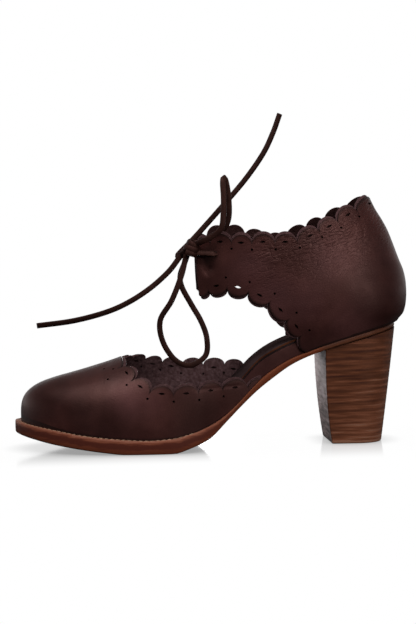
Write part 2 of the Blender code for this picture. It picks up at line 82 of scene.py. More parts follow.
# Half breadth of the sole between ball and heel seat
BREADTH_COLUMNS = ("x", "lateral", "medial")
BREADTH = (
    (-68.0, 41.5, 38.5),     # only makes the edge run level at the inner ball
    (-48.0, 42.5, 41.0),
    (-28.0, 43.5, 38.5),
    (-12.0, 41.0, 33.0),
    (0.0, 36.5, 28.0),
    (10.0, 31.8, 24.3),
    (20.0, 28.3, 21.8),
    (32.0, 25.8, 20.6),
    (45.0, 24.6, 21.2),
    (58.0, 25.4, 23.6),
    (70.0, 26.8, 26.0),
    (82.0, 27.8, 27.6),
    (92.0, 28.0, 28.0),
    (100.0, 28.0, 28.0),
)

# Height of the sole's underside and top, the ledge outside the upper, and the insole on it
SOLE_COLUMNS = ("x", "bottom", "top", "ledge", "insole")
SOLE = (
    (-122.5, 10.7, 18.2, 3.9, 3.5),
    (-110.0, 8.2, 16.2, 2.9, 3.5),
    (-95.0, 5.3, 13.9, 2.7, 3.5),
    (-80.0, 3.0, 11.3, 2.6, 3.5),
    (-66.0, 1.2, 9.7, 2.5, 3.5),
    (-53.0, 0.0, 8.7, 2.4, 3.6),
    (-40.0, 0.0, 8.0, 2.3, 3.8),
    (-25.0, 0.0, 8.9, 2.2, 4.4),
    (-14.0, 2.9, 11.3, 2.0, 5.4),
    (-3.0, 7.5, 15.2, 1.8, 7.4),
    (7.0, 16.3, 20.7, 1.6, 10.2),
    (17.0, 25.6, 29.2, 1.4, 12.6),
    (28.0, 35.3, 39.9, 1.2, 13.2),
    (38.0, 42.7, 47.6, 1.1, 12.2),
    (50.0, 50.6, 54.2, 0.8, 11.0),
    (60.0, 55.2, 58.0, 0.4, 10.0),
    (70.0, 58.6, 61.5, 0.0, 9.0),
    (92.0, 64.9, 67.9, -0.6, 7.5),
    (118.0, 71.9, 74.9, -1.0, 7.0),
)

# The last over the forefoot: its ridge line and how square its cross-sections are
RIDGE_COLUMNS = ("x", "height", "squareness", "ridge_y")
RIDGE = (
    (-118.0, 38.4, 3.9, 5.0),
    (-105.0, 42.0, 3.3, 5.0),
    (-92.0, 45.5, 2.6, 4.5),
    (-76.0, 49.8, 2.35, 4.0),
    (-55.0, 56.3, 2.3, 3.0),
    (-40.0, 63.0, 2.35, 2.5),
    (-20.0, 75.0, 2.4, 2.0),
    (0.0, 89.0, 2.4, 1.0),
    (20.0, 102.0, 2.4, 0.0),
    (34.0, 110.0, 2.4, 0.0),
)
TOE_CROWN_X = -92.0
TOE_CROWN_BLEND = 8.0
THROAT_X = -55.0
TOE_BACK_X = -60.0
TOE_SCALLOPS = 3

# Notches between the scallops of the vamp as (x, z) pairs, from the throat to the waist
VAMP_NOTCHES = {
    LATERAL: ((-53.8, 51.5), (-48.3, 44.0), (-37.9, 37.4), (-24.0, 36.2), (-9.0, 36.7),
              (6.1, 37.8), (21.4, 38.4)),
    MEDIAL: ((-53.8, 55.9), (-50.0, 54.9), (-40.6, 52.3), (-29.0, 50.0), (-16.0, 47.6),
             (-2.0, 47.4), (11.5, 47.8), (23.5, 46.0)),
}
VAMP_END_X, VAMP_END_Z = 30.5, 43.4
FLARE_START_X, FLARE_END_X = 31.5, 37.5
COUNTER_START_X = 51.5
WAIST_INSET = 1.2
VAMP_SCALLOP = 0.76
THROAT_CURVE = 0.15
LAST_SCALLOP = 0.25      # the scallop at the waist is lower than the rest

# Plan sections of the quarter by height: an oval from the heel's back to the straps' front
QUARTER_COLUMNS = ("z", "back", "centre", "half_width", "front")
QUARTER = (
    (54.0, 114.0, 84.0, 25.2, -14.0),
    (66.0, 117.0, 84.0, 27.2, -14.0),
    (75.0, 119.2, 84.0, 28.8, -14.0),
    (80.5, 123.4, 84.0, 29.4, -14.0),
    (87.0, 125.0, 82.0, 29.9, -14.0),
    (93.0, 125.4, 79.0, 30.0, -14.0),
    (99.0, 125.2, 74.0, 29.8, -14.0),
    (106.0, 124.0, 66.0, 29.2, -14.0),
    (114.0, 121.0, 60.0, 28.4, -14.0),
    (124.0, 117.4, 55.0, 27.6, -14.0),
    (132.0, 114.3, 53.0, 27.2, -14.0),
    (138.0, 111.2, 52.0, 26.2, -14.0),
    (146.0, 106.4, 51.0, 24.6, -14.0),
    (158.0, 101.0, 50.0, 22.6, -14.0),
)
QUARTER_SQUARENESS = 2.35
STRAP_RISE = {LATERAL: 0.0, MEDIAL: 7.0}

# Notches along the collar, from the strap's front backwards, as (x, z, share of the strap's rise)
COLLAR_NOTCHES = (
    (-7.4, 126.0, 0.2),
    (0.9, 127.0, 0.3),
    (13.7, 127.0, 1.0),
    (26.0, 126.1, 0.7),
    (40.0, 126.0, 0.1),
    (53.5, 126.4, 0.1),
    (66.9, 132.2, 0.35),
    (78.9, 137.7, 0.1),
    (91.7, 144.6, 0.0),
)
COLLAR_BACK_Z = 145.4
# Notches along the quarter's lower edge, as (x, z, share of the strap's rise)
LOWER_NOTCHES = (
    (-5.7, 92.3, 0.45),
    (-0.4, 95.3, 0.45),
    (10.5, 96.6, 1.0),
    (22.8, 93.9, 1.0),
    (35.2, 87.6, 0.95),
    (45.8, 77.0, 0.8),
    (53.4, 66.7, 0.55),
)
QUARTER_FOOT_X = 59.5
COLLAR_SCALLOP = 0.87
LOWER_SCALLOP = 0.64

# Cut-outs of the upper: a leaf slot in each scallop, a pinhole inside each notch
SLOT_LENGTH, SLOT_WIDTH = 4.2, 1.4
PIN_RADIUS = 0.75
LACE_HOLE_RADIUS = 2.1
CUTTER_DEPTH = 3.5
OPEN_SLOT = 2            # the slot of the straps' lower edge that light shows through
SLOT_DEPTH = {"vamp": 6.4, "collar": 6.5, "lower": 7.4}      # from the scallop's outermost point
PIN_DEPTH = {"vamp": 5.0, "collar": 5.0, "lower": 8.0}       # from the notch
THROAT_PINS = ((-65.9, 50.0), (-60.1, 50.0), (-63.4, 44.4))  # in front of the throat, as (x, z)

# Creases of the outer leather, as (x, z) lines on the outer side and their depth
CREASE_WIDTH = 0.9       # unless a third number gives another width
CREASE_REACH = 3.0       # a crease ends this many widths from its line
CREASE_SPACING = 1.0
CREASES = {
    "vamp": (
        (((-10.0, 37.4), (3.0, 38.0), (16.5, 38.6)), 0.2),
        (((-64.0, 52.0), (-60.0, 53.2), (-56.5, 54.6)), 0.25),
        (((-70.0, 49.0), (-65.0, 51.4), (-61.0, 53.8)), 0.2),
    ),
    "quarter": (
        (((-6.5, 113.5), (-4.0, 110.0), (-0.8, 106.0)), 0.35),
        (((-5.4, 117.4), (-3.4, 114.0), (-0.8, 109.6)), 1.3, 2.6),
        (((66.0, 124.5), (76.5, 127.8), (87.0, 132.8), (95.5, 137.6)), 0.16),
        (((68.5, 120.2), (78.5, 123.4), (89.5, 129.6)), 0.14),
        (((55.0, 116.4), (65.0, 119.0), (74.0, 121.6)), 0.12),
        (((58.6, 112.8), (66.4, 116.6), (76.2, 119.2)), 0.12),
        (((35.6, 107.8), (44.4, 112.8), (53.2, 116.0)), 0.1),
        (((36.8, 101.6), (45.6, 107.8), (54.2, 112.8)), 0.1),
        (((21.6, 119.0), (32.0, 120.0), (43.2, 121.2)), 0.1),
    ),
}
# The net of wrinkles follows the collar's slope, starts behind the lace and fades out below
COLLAR_SLOPE = math.radians(20.0)
WRINKLE_LOW, WRINKLE_HIGH = 66.0, 97.0
WRINKLE_FRONT, WRINKLE_FULL = 14.0, 34.0

# Heel block, by share of its height from floor to seat
HEEL_COLUMNS = ("share", "breast", "back", "half_width")
HEEL = (
    (0.0, 74.2, 107.8, 20.8),
    (0.2, 72.6, 109.8, 21.8),
    (0.45, 71.2, 112.2, 23.4),
    (0.75, 70.4, 115.0, 25.6),
    (1.0, 70.2, 117.2, 27.4),
)
HEEL_SQUARENESS = 2.3
HEEL_SIDE_X = 92.0
BREAST_SHARE = 0.93
BREAST_STOPS = (0.0, 0.3, 0.6, 0.85)     # corners of the heel's mesh on each half of its breast
# Joints between the lifts, by height under the middle of the seat
LIFT_LINES = (3.4, 7.5, 11.9, 15.0, 18.8, 22.8, 27.8, 31.6, 35.4, 39.1, 44.1, 47.6, 51.0, 55.4, 59.1,
              62.9)
LIFT_TILT = 0.03         # the lifts rise a little towards the back
LIFT_TONE, JOINT_TONE, RIM_TONE = 0.4, 0.4, 0.95     # of a lift, added at a joint, of the bottom rim
JOINT_HALF = 0.8         # half breadth of a joint's light line
LIFT_GROOVE = 0.07
GROOVE_DROP, GROOVE_HALF = 0.5, 0.35     # the groove runs under its light line, and its half breadth
TOP_PIECE_RIM = 2.0
# The sanded side is painted darker high up and lighter low at the back, by x less z, as painted light and
# shade
HEEL_SHADED, HEEL_LIT = 48.0, 96.0
HEEL_EASE = 0.4          # the block's bottom edge is eased by this much
CORNER = 0.5

# Lace: a flat leather thong
THONG_WIDTH, THONG_THICK = 3.5, 1.9
THONG_ROUND = 0.6        # 1 makes its section an oval, 0 a rectangle
# Windings of the knot: radius, turns, where along the knot they start and end, first angle
KNOT_WRAPS = ((4.3, 1.7, 0.1, 0.62, 0.15), (3.5, 1.6, 1.0, 0.4, 0.5), (1.6, 1.3, 0.1, 0.9, 0.3))
BAR_FACING = (-0.4, 0.0, 0.8)
BAR_TURN = 12.0          # the bar's broad side faces up in the middle and outwards by this far from it
BAR_LIFT, BAR_TAIL = 0.9, -6.0           # how far outside its hole it lies, and where its tails end
KNOT_REACH = 20.0        # strands that start within this much of the knot's middle come out of it
END_TWIST = 25.0         # degrees, one end each way
THONG_SPACING, KNOT_SPACING = 1.6, 1.0
STRAP_HOLE_X, STRAP_HOLE_Z = 3.2, 119.0
BAR_ROUTE = ((-9.6, -15.6, 120.3), (-7.0, -9.0, 121.0), (-6.0, 0.0, 121.4), (-7.0, 9.0, 121.0),
             (-9.6, 15.6, 120.3))
KNOT_FROM, KNOT_TO = (-11.8, -15.0, 118.8), (-8.0, -15.4, 127.0)
END_UP_ROUTE = ((-11.4, -4.2, 125.8), (-4.2, -3.2, 133.2), (10.6, -2.5, 149.2), (25.0, -2.0, 165.4),
                (36.4, -1.5, 181.0), (43.0, -1.0, 194.0), (47.6, -1.0, 206.0))
END_FORE_ROUTE = ((-17.8, -8.2, 117.0), (-24.6, -8.0, 108.6), (-36.0, -8.0, 98.8), (-49.5, -8.0, 90.4),
                  (-64.0, -8.0, 84.4), (-84.0, -7.0, 79.6), (-106.6, -6.0, 77.0))
LOOP_DOWN_ROUTE = ((-14.0, -11.0, 116.4), (-16.8, -12.4, 106.0), (-23.0, -12.4, 91.0),
                   (-30.4, -11.0, 78.6), (-29.0, -9.5, 65.4), (-21.6, -8.6, 53.8), (-12.2, -8.0, 50.2),
                   (-2.6, -7.6, 56.0), (-1.6, -7.4, 67.0), (-5.0, -7.2, 77.6), (-10.6, -7.2, 87.8),
                   (-16.4, -7.4, 99.0), (-17.2, -7.4, 106.4), (-14.2, -7.8, 114.4))
LOOP_UP_ROUTE = ((-11.2, -10.9, 123.1), (-9.2, -16.4, 124.6), (-4.0, -21.4, 126.8), (2.6, -24.4, 129.8),
                 (7.6, -26.0, 134.6), (9.0, -26.0, 143.0), (9.4, -25.4, 153.0), (9.2, -24.2, 162.0),
                 (10.0, -22.4, 165.4), (11.6, -20.8, 162.4), (13.0, -19.6, 152.0), (12.8, -18.6, 141.0),
                 (9.6, -17.0, 134.0), (3.0, -12.6, 130.4), (-3.0, -8.0, 127.6), (-7.4, -5.2, 124.8))

# Fineness of the meshes
SCALLOP_STEPS = 14
PANEL_ROWS = 56
SCALLOP_ROWS = 8
ROUTE_STEPS, TURN_STEPS = 24, 24
LEAF_STEPS, ROUND_STEPS = 8, 12
SOLVE_STEPS = 40
SMALL_STEP = 0.01
MERGE = 0.000002
SHARP_ANGLE = math.radians(40)
SOLE_STEPS = 110
HEEL_RINGS = 220
SIDE_STEPS, BACK_STEPS = 8, 14
THONG_SIDES = 12

# Sole edge from the underside to the ledge: inset, mm above the bottom, share of the way up,
# mm below the top, and the rise that its colours follow
SOLE_PROFILE = (
    (7.0, 0.0, 0.0, 0.0, 0.0),
    (1.0, 0.0, 0.0, 0.0, 0.0),
    (0.35, 0.25, 0.0, 0.0, 0.04),
    (0.05, 0.8, 0.0, 0.6, 0.12),
    (0.0, 0.8, 0.35, 0.6, 0.4),
    (0.0, 0.8, 0.65, 0.6, 0.65),
    (0.05, 0.8, 1.0, 0.6, 0.88),
    (0.35, 0.8, 1.0, 0.15, 0.95),
    (0.8, 0.0, 1.0, 0.0, 1.0),
    (7.0, 0.0, 1.0, 0.0, 1.0),
)
STITCH_PITCH, STITCH_LENGTH, STITCH_RADIUS = 3.4, 2.7, 0.36
STITCH_SIDES = 6
STITCH_PROUD = 0.2       # its middle stands above the ledge by this share of its radius
# Where the sole's edge changes its finish, in x
WAIST_BLEND, SEAT_BLEND = (-10.0, 20.0), (63.0, 69.0)
STITCH_SWELL = ((0.0, 0.35), (0.12, 0.8), (0.35, 1.0), (0.65, 1.0), (0.88, 0.8), (1.0, 0.35))
WELT_LINE = 0.5          # the stitches run at this share of the ledge
WELT_STEPS = 60
WELT_END_X = -14.0

# Corners of the insole's layers: inset from its edge, and drop from the sock's top
RIB_PROFILE = ((0.0, None), (0.0, 3.6), (0.25, 3.1), (0.8, 2.85))
SOCK_PROFILE = ((0.9, 2.7), (0.9, 1.5), (0.05, 1.4), (0.05, 0.35), (0.4, 0.05), (2.0, 0.0), (9.0, 0.0))
SOCK_EDGE = 2            # the strip of the sock's profile that is a raw cut edge

# Finishes, as colour stops from dark to light, or by the rise up the sole's edge
UPPER_BROWNS = ((0.3, "#271312"), (0.55, "#331917"), (0.75, "#422421"))
# Painted shade: the leather near its cut edges and the walls of all cut-outs are painted this dark
CUT_SHADE_BROWN = "#190D0C"
# Patches of the upper painted lighter as painted highlights, dull and painted darker as painted shade, or
# painted near black as painted shade in the pucker under the knot: x, y, z, radius, strength
PAINTED_HIGHLIGHT_BROWN, PAINTED_SHADE_BROWN, PUCKER_SHADE_BROWN = "#573536", "#1E0E0C", "#0E0706"
# Painted shadow: the deep pucker under the knot is painted near black
PUCKER_SHADE_PATCHES = ((-2.8, -24.0, 115.6, 13.0, 1.0),)
PAINTED_HIGHLIGHT_PATCHES = (
    (-49.5, -29.0, 31.0, 20.0, 0.8),
    (-38.0, -34.0, 29.5, 16.0, 0.4),
    (24.6, -26.0, 108.7, 22.0, 0.35),
    (37.0, -27.0, 90.0, 30.0, 0.4),
    (57.0, -28.0, 90.0, 22.0, 0.3),
    (87.0, -28.0, 78.0, 23.0, 0.4),
    (75.0, -25.0, 115.0, 24.0, 0.25),
)
# Painted shade: these patches are painted darker where shade falls, low on the toe and vamp, at the
# counter's lower back and under the knot, and are less glossy too
DULL_SHADED_PATCHES = (
    (87.0, -25.0, 97.0, 17.0, 0.4),
    (-62.0, -34.0, 22.0, 17.0, 0.5),
    (-84.0, -27.0, 28.0, 20.0, 0.45),
    (-8.5, -40.0, 25.9, 34.0, 0.7),
    (10.0, -34.0, 30.8, 26.0, 0.5),
    (-95.0, -18.0, 39.0, 26.0, 0.5),
    (98.7, -22.0, 88.6, 34.0, 0.75),
    (49.1, -27.0, 114.3, 18.0, 0.4),
    (-2.8, -24.0, 114.0, 8.0, 1.0),
)
LOW_LINING_BROWN = "#1E1110"
LINING_DARK_LOW, LINING_DARK_HIGH = 22.0, 36.0     # below these heights the lining is darker
FLESH_MAUVES = {"vamp": ((0.3, "#3C2929"), (0.6, "#483334"), (0.8, "#553F40")),
                "quarter": ((0.3, "#443030"), (0.6, "#523A3B"), (0.8, "#5F4647"))}
# Lit and shaded copies of one pigskin: the vamp's smooth side painted lighter as painted light from
# overhead, the quarter's painted darker as painted shade
LINING_BROWNS = {"vamp": ((0.3, "#4C3536"), (0.5, "#62494A"), (0.7, "#785D5E")),
                 "quarter": ((0.3, "#241514"), (0.6, "#2C1A19"), (0.8, "#362221"))}
THONG_BROWNS = ((0.3, "#1E100D"), (0.6, "#2A1713"), (0.8, "#3C2520"))
SOLE_BROWNS = ((0.0, "#62321F"), (0.1, "#733C28"), (0.28, "#6C3727"), (0.42, "#54281F"), (0.7, "#54281F"),
               (0.82, "#743F2D"), (0.93, "#875443"), (1.0, "#7A4C3C"))
WAIST_BROWNS = ((0.0, "#773B20"), (0.4, "#642F1B"), (1.0, "#6A3722"))
SEAT_BROWNS = ((0.0, "#4A2A1E"), (0.3, "#5C3626"), (0.5, "#5A3423"), (0.7, "#4C2B1E"), (1.0, "#40241A"))
LIFT_BROWNS = ((0.0, "#40211A"), (0.3, "#56301F"), (0.6, "#6C3E2A"), (0.85, "#804D37"), (1.0, "#8E624D"))
# Partly the flap's own mauve-grey, partly a painted reflection of the bright room to the left
FLAP_MAUVES = ((0.22, "#3E302D"), (0.4, "#6E5C5A"), (0.6, "#9A8889"), (0.75, "#B0A0A0"))
FLAP_PALE = 40.0         # the flap is at its palest from this height up
RIB_BROWNS = ((0.35, "#301A19"), (0.65, "#3B2321"))
SOCK_GREYS = ((0.35, "#302424"), (0.65, "#3C2F2F"))
EDGE_TANS = ((0.35, "#3C2016"), (0.65, "#54301F"))
THREAD_TANS = ((0.35, "#7C5842"), (0.65, "#98745C"))
GLOSS_TINTS = {"upper": "#FFBFB5", "lining": "#FFC4BE", "thong": "#FFBCB0", "sole": "#FFE0D0",
               "soft": "#FFC4B4"}
UPPER_GLOSS, DULL_GLOSS = 0.5, 0.1
UPPER_ROUGHNESS, LIFT_ROUGHNESS = (0.38, 0.47), (0.4, 0.55)

# Patterns of the finishes: sizes and depths in mm, and how far each axis is squeezed to draw one out
UPPER_CLOUD, UPPER_SHEEN = 24.0, 6.0
PORE, PORE_DEPTH = 0.9, 0.1                          # coarser than calf has them, to show at all
WRINKLE, WRINKLE_FOLD, WRINKLE_DEPTH = 1.9, 0.22, 0.14     # the fold is a share of the net's cells
WRINKLE_WARP, WRINKLE_BEND, WRINKLE_DRAWN = 7.0, 2.4, (0.35, 0.35, 1.0)
LINING_CLOUD, LINING_NAP, LINING_DEPTH = 2.0, 1.6, 0.5     # coarser than pigskin's nap, to show
THONG_CLOUD, THONG_FIBRE, THONG_DEPTH = 5.0, 0.8, 0.15
SOLE_FIBRE, SOLE_DEPTH, SOLE_DRAWN = 1.2, 0.1, (0.12, 0.3, 1.0)
LIFT_FIBRE, LIFT_DEPTH, LIFT_DRAWN = 1.2, 0.12, (0.07, 0.07, 1.0)
FLAP_STREAK, FLAP_DEPTH, FLAP_DRAWN = 2.4, 0.15, (0.15, 0.15, 1.0)
SOFT_CLOUD, SOFT_DEPTH = 12.0, 0.1
THREAD_CLOUD = 3.0
# Steps along a finish's colour stops: by the fibres each way, and from one end of a fade to the other
SOLE_SHIFT, LIFT_SHIFT = 0.09, 0.38
HEEL_LIGHT_FADE, FLAP_FADE = (-0.14, 0.24), (-0.25, 0.1)
# Where most of a noise texture's values lie, and a mix node's colour sockets
NOISE_RANGE = {"From Min": 0.3, "From Max": 0.7}
WIDE_NOISE_RANGE = {"From Min": 0.25, "From Max": 0.75}
MIX_A, MIX_B, MIX_RESULT = 6, 7, 2

# Studio: the room's greys from straight down to straight up, and its share of light on the near side
WHITE = "#FFFFFF"
ROOM_GREYS = ((0.0, "#464646"), (0.49, "#464646"), (0.51, "#FFFFFF"), (0.6, "#FFFFFF"), (0.68, "#6C6C6C"),
              (1.0, "#848484"))
ROOM_FRONT, ROOM_TURN = 0.3, (-0.2, 0.3)
# The table: how much it mirrors at the toe and the heel, where that blends and where it fades out, and
# how it is shaded by what stands close over it
FLOOR_HALF = 8.0
FLOOR_ROUGHNESS = 0.12
MIRROR, MIRROR_HEEL, MIRROR_BLEND = 0.4, 0.3, 60.0
MIRROR_X, MIRROR_Y = (118.0, 165.0), (25.0, 82.0)
SHADE_REACH, SHADE_DARKEST, SHADE_RANGE = 16.0, 0.55, (0.2, 0.95)
# Softboxes as (name, place, aim, (width, height), watts), in metres
SOFTBOXES = (
    ("overhead", (-0.15, -0.45, 1.0), (0.0, 0.0, 0.05), (0.9, 0.6), 10.0),
    ("key", (0.65, -1.05, 0.39), (0.06, 0.0, 0.1), (0.45, 0.45), 4.5),
    ("waist_card", (-0.01, 0.13, 0.05), (0.072, 0.0, 0.035), (0.08, 0.06), 0.13),
)


# Tables and surfaces

def smooth_curve(xs, ys):
    """A smooth function through a table that never overshoots its rows."""
    rates = [(ys[i + 1] - ys[i]) / (xs[i + 1] - xs[i]) for i in range(len(xs) - 1)]
    tangents = [rates[0]]
    for before, after in zip(rates, rates[1:]):
        tangents.append(0.0 if before * after <= 0 else 2 * before * after / (before + after))
    tangents.append(rates[-1])

    def value(x):
        if x <= xs[0]:
            return ys[0] + (x - xs[0]) * tangents[0]
        if x >= xs[-1]:
            return ys[-1] + (x - xs[-1]) * tangents[-1]
        i = bisect.bisect_right(xs, x) - 1
        width = xs[i + 1] - xs[i]
        t = (x - xs[i]) / width
        rise = (3 - 2 * t) * t * t
        return (ys[i] * (1 - rise) + ys[i + 1] * rise
                + width * t * (1 - t) * (tangents[i] * (1 - t) - tangents[i + 1] * t))

    return value


def table_curve(rows, columns, name):
    """One column of a table as a smooth function of the table's first column."""
    index = columns.index(name)
    return smooth_curve([row[0] for row in rows], [row[index] for row in rows])


breadth = {LATERAL: table_curve(BREADTH, BREADTH_COLUMNS, "lateral"),
           MEDIAL: table_curve(BREADTH, BREADTH_COLUMNS, "medial")}
sole_bottom = table_curve(SOLE, SOLE_COLUMNS, "bottom")
sole_top = table_curve(SOLE, SOLE_COLUMNS, "top")
ledge = table_curve(SOLE, SOLE_COLUMNS, "ledge")
insole_depth = table_curve(SOLE, SOLE_COLUMNS, "insole")
ridge_height = table_curve(RIDGE, RIDGE_COLUMNS, "height")
squareness = table_curve(RIDGE, RIDGE_COLUMNS, "squareness")
ridge_y = table_curve(RIDGE, RIDGE_COLUMNS, "ridge_y")
back_x = table_curve(QUARTER, QUARTER_COLUMNS, "back")
centre_x = table_curve(QUARTER, QUARTER_COLUMNS, "centre")
quarter_width = table_curve(QUARTER, QUARTER_COLUMNS, "half_width")
front_x = table_curve(QUARTER, QUARTER_COLUMNS, "front")
heel_breast = table_curve(HEEL, HEEL_COLUMNS, "breast")
heel_back = table_curve(HEEL, HEEL_COLUMNS, "back")
heel_half_width = table_curve(HEEL, HEEL_COLUMNS, "half_width")


def placed(point):
    """A point of the tables in the shoe's own frame, in metres."""
    return (Vector(point) - Vector(BOX_MIDDLE)) * MM


def outline_y(side, x, inset):
    """Y of the sole's edge at x, moved in by inset all round."""
    tip, end = SOLE_TIP_X + inset, SOLE_END_X - inset
    if x < BALL_X[side]:
        reach = min(1.0, (BALL_X[side] - x) / (BALL_X[side] - tip))
        toe = side * TOE_Y
        return side * (toe + (breadth[side](BALL_X[side]) - inset - toe) * math.sqrt(1 - reach * reach))
    if x > SEAT_X:
        reach = min(1.0, (x - SEAT_X) / (end - SEAT_X))
        return side * (breadth[side](SEAT_X) - inset) * math.sqrt(1 - reach * reach)
    return side * (breadth[side](x) - inset)


def vamp_point(side, x, climb):
    """The outside of the vamp: climb runs from 0 at the sole to 1 on the ridge."""
    crown = TOE_CROWN_X + TOE_CROWN_BLEND * math.log1p(math.exp((x - TOE_CROWN_X) / TOE_CROWN_BLEND))
    foot_y = outline_y(side, x, ledge(x))
    foot_z = sole_top(x) + GAP
    power = 2.0 / squareness(x)
    angle = min(max(climb, 0.0), 1.0) * math.pi / 2
    out = max(math.cos(angle), 0.0) ** power
    px = crown + (x - crown) * out
    py = ridge_y(crown) + (foot_y - ridge_y(crown)) * out
    pz = foot_z + (ridge_height(px) - foot_z) * math.sin(angle) ** power
    return Vector((px, py, pz))


def quarter_point(side, turn, z):
    """The outside of the quarter: turn runs from 0 at the back seam to pi at the strap's front."""
    power = 2.0 / QUARTER_SQUARENESS
    turn = min(max(turn, 0.0), math.pi)
    centre = centre_x(z)
    reach = back_x(z) - centre if turn < math.pi / 2 else centre - front_x(z)
    along = math.copysign(abs(math.cos(turn)) ** power, math.cos(turn))
    return Vector((centre + reach * along, side * quarter_width(z) * math.sin(turn) ** power, z))


def quarter_inside_y(x, z, clearance):
    """Half breadth of the room inside the quarter at a place and height."""
    centre = centre_x(z)
    reach = back_x(z) - centre - clearance
    share = min(1.0, max(0.0, x - centre) / reach)
    power = QUARTER_SQUARENESS
    return (quarter_width(z) - clearance) * max(0.0, 1 - share ** power) ** (1 / power)


def solve(target, function, low, high):
    """The argument between low and high where a rising function reaches target."""
    for _ in range(SOLVE_STEPS):
        middle = (low + high) / 2
        if function(middle) < target:
            low = middle
        else:
            high = middle
    return (low + high) / 2


def quarter_turn(x, z):
    """The turn at which the quarter passes x at height z."""
    return solve(-x, lambda turn: -quarter_point(LATERAL, turn, z).x, 0.0, math.pi)


def vamp_climb(side, x, z):
    """The climb at which the vamp's section at x reaches height z."""
    return solve(z, lambda climb: vamp_point(side, x, climb).z, 0.0, 1.0)


# Scalloped edges

def slopes(surface, at):
    """How a point on a surface moves along each of its two directions."""
    first = surface(at[0] + SMALL_STEP, at[1]) - surface(at[0] - SMALL_STEP, at[1])
    second = surface(at[0], at[1] + SMALL_STEP) - surface(at[0], at[1] - SMALL_STEP)
    return first / (2 * SMALL_STEP), second / (2 * SMALL_STEP)


def scallop_frame(surface, start, end, outward):
    """A scallop's chord in mm, and the surface step for 1 mm out of the panel at its middle."""
    middle = ((start[0] + end[0]) / 2, (start[1] + end[1]) / 2)
    first, second = slopes(surface, middle)
    chord = first * (end[0] - start[0]) + second * (end[1] - start[1])
    across = first.cross(second).cross(chord).normalized() * outward
    aa, ab, bb = first.dot(first), first.dot(second), second.dot(second)
    ca, cb = across.dot(first), across.dot(second)
    det = aa * bb - ab * ab
    return chord.length, Vector(((ca * bb - cb * ab) / det, (cb * aa - ca * ab) / det))


def scalloped_edge(surface, notches, fullness, outward, margin, first=None, last=None):
    """A scalloped edge pushed out by a margin, as pairs of its notch line and its outer line.

    The way out of the panel turns evenly from notch to notch, so neighbours never cross.
    """
    frames = [scallop_frame(surface, a, b, outward) for a, b in zip(notches, notches[1:])]
    ways = [way for _, way in frames]
    ways_at = [ways[0]] + [(a + b) / 2 for a, b in zip(ways, ways[1:])] + [ways[-1]]
    moved = [Vector(notch) + way * (margin * NOTCH_SHARE) for notch, way in zip(notches, ways_at)]
    if first:
        moved[0], ways_at[0] = Vector(first), Vector((ways[0][0], 0.0))
    if last:
        moved[-1], ways_at[-1] = Vector(last), Vector((0.0, ways[-1][1]))
    pairs = []
    for k, ((length, way), full) in enumerate(zip(frames, fullness)):
        rise = length / 2 * full + margin * (1 - NOTCH_SHARE)
        for step in range(SCALLOP_STEPS + (k == len(frames) - 1)):
            angle = math.pi * step / SCALLOP_STEPS
            share, height = (1 - math.cos(angle)) / 2, math.sin(angle)
            base = moved[k].lerp(moved[k + 1], share)
            out = ways_at[k].lerp(ways_at[k + 1], share).lerp(way, height)
            pairs.append((base, base + out * max(rise * height, NOTCH_FLOOR)))
    return pairs


def vamp_notches(side):
    """All notches of one half of the vamp as (x, climb) pairs."""
    notches = [(THROAT_X, 1.0)]
    notches += [(x, vamp_climb(side, x, z)) for x, z in VAMP_NOTCHES[side]]
    return notches + [(VAMP_END_X, vamp_climb(side, VAMP_END_X, VAMP_END_Z))]


def vamp_columns(side, margin):
    """Columns of (point, outward) from sole to throat: over the crown at the toe, upright at the sides."""
    def surface(x, climb):
        return vamp_point(side, x, climb)

    notches = vamp_notches(side)
    fullness = [THROAT_CURVE] + [VAMP_SCALLOP] * (len(notches) - 3) + [LAST_SCALLOP]
    end_x = VAMP_END_X + margin
    end = (end_x, vamp_climb(side, end_x, VAMP_END_Z + margin))
    upper = scalloped_edge(surface, notches, fullness, 1, margin, first=(THROAT_X + margin, 1.0), last=end)
    tip = SOLE_TIP_X + ledge(SOLE_TIP_X)
    toe_steps = TOE_SCALLOPS * SCALLOP_STEPS
    side_steps = len(upper) - 1 - toe_steps
    turns = [math.pi / 2 * k / toe_steps for k in range(toe_steps)]
    lower = [tip + (TOE_BACK_X - tip) * (1 - math.cos(turn)) for turn in turns]
    lower += [TOE_BACK_X + (end_x - TOE_BACK_X) * k / side_steps for k in range(side_steps + 1)]
    columns = []
    for k, (low, (base, outer)) in enumerate(zip(lower, upper)):
        straight = min(1.0, k / toe_steps)
        track = []
        for row in range(PANEL_ROWS + 1):
            share = row / PANEL_ROWS
            rise, run = min(1.0, 2 * share), max(0.0, 2 * share - 1)
            rise += (share - rise) * straight
            run += (share - run) * straight
            track.append((low + (base[0] - low) * run, base[1] * rise))
        track += [tuple(base.lerp(outer, row / SCALLOP_ROWS)) for row in range(1, SCALLOP_ROWS + 1)]
        columns.append([on_surface(surface, at, -side) for at in track])
    return columns


def strap_notches(side, rows):
    """Notches along one edge of a strap as (turn, z) pairs, with the strap's rise put in."""
    rise = STRAP_RISE[side]
    return [(quarter_turn(x, z + rise * share), z + rise * share) for x, z, share in rows]


def collar_notches(side):
    """Notches of one half of the collar as (turn, z) pairs, down to the back seam."""
    return strap_notches(side, COLLAR_NOTCHES) + [(0.0, COLLAR_BACK_Z)]


def lower_notches(side):
    """Notches of the quarter's lower edge as (turn, z) pairs, down to its foot on the sole."""
    foot_z = sole_top(QUARTER_FOOT_X) + GAP
    return strap_notches(side, LOWER_NOTCHES) + [(quarter_turn(QUARTER_FOOT_X, foot_z), foot_z)]


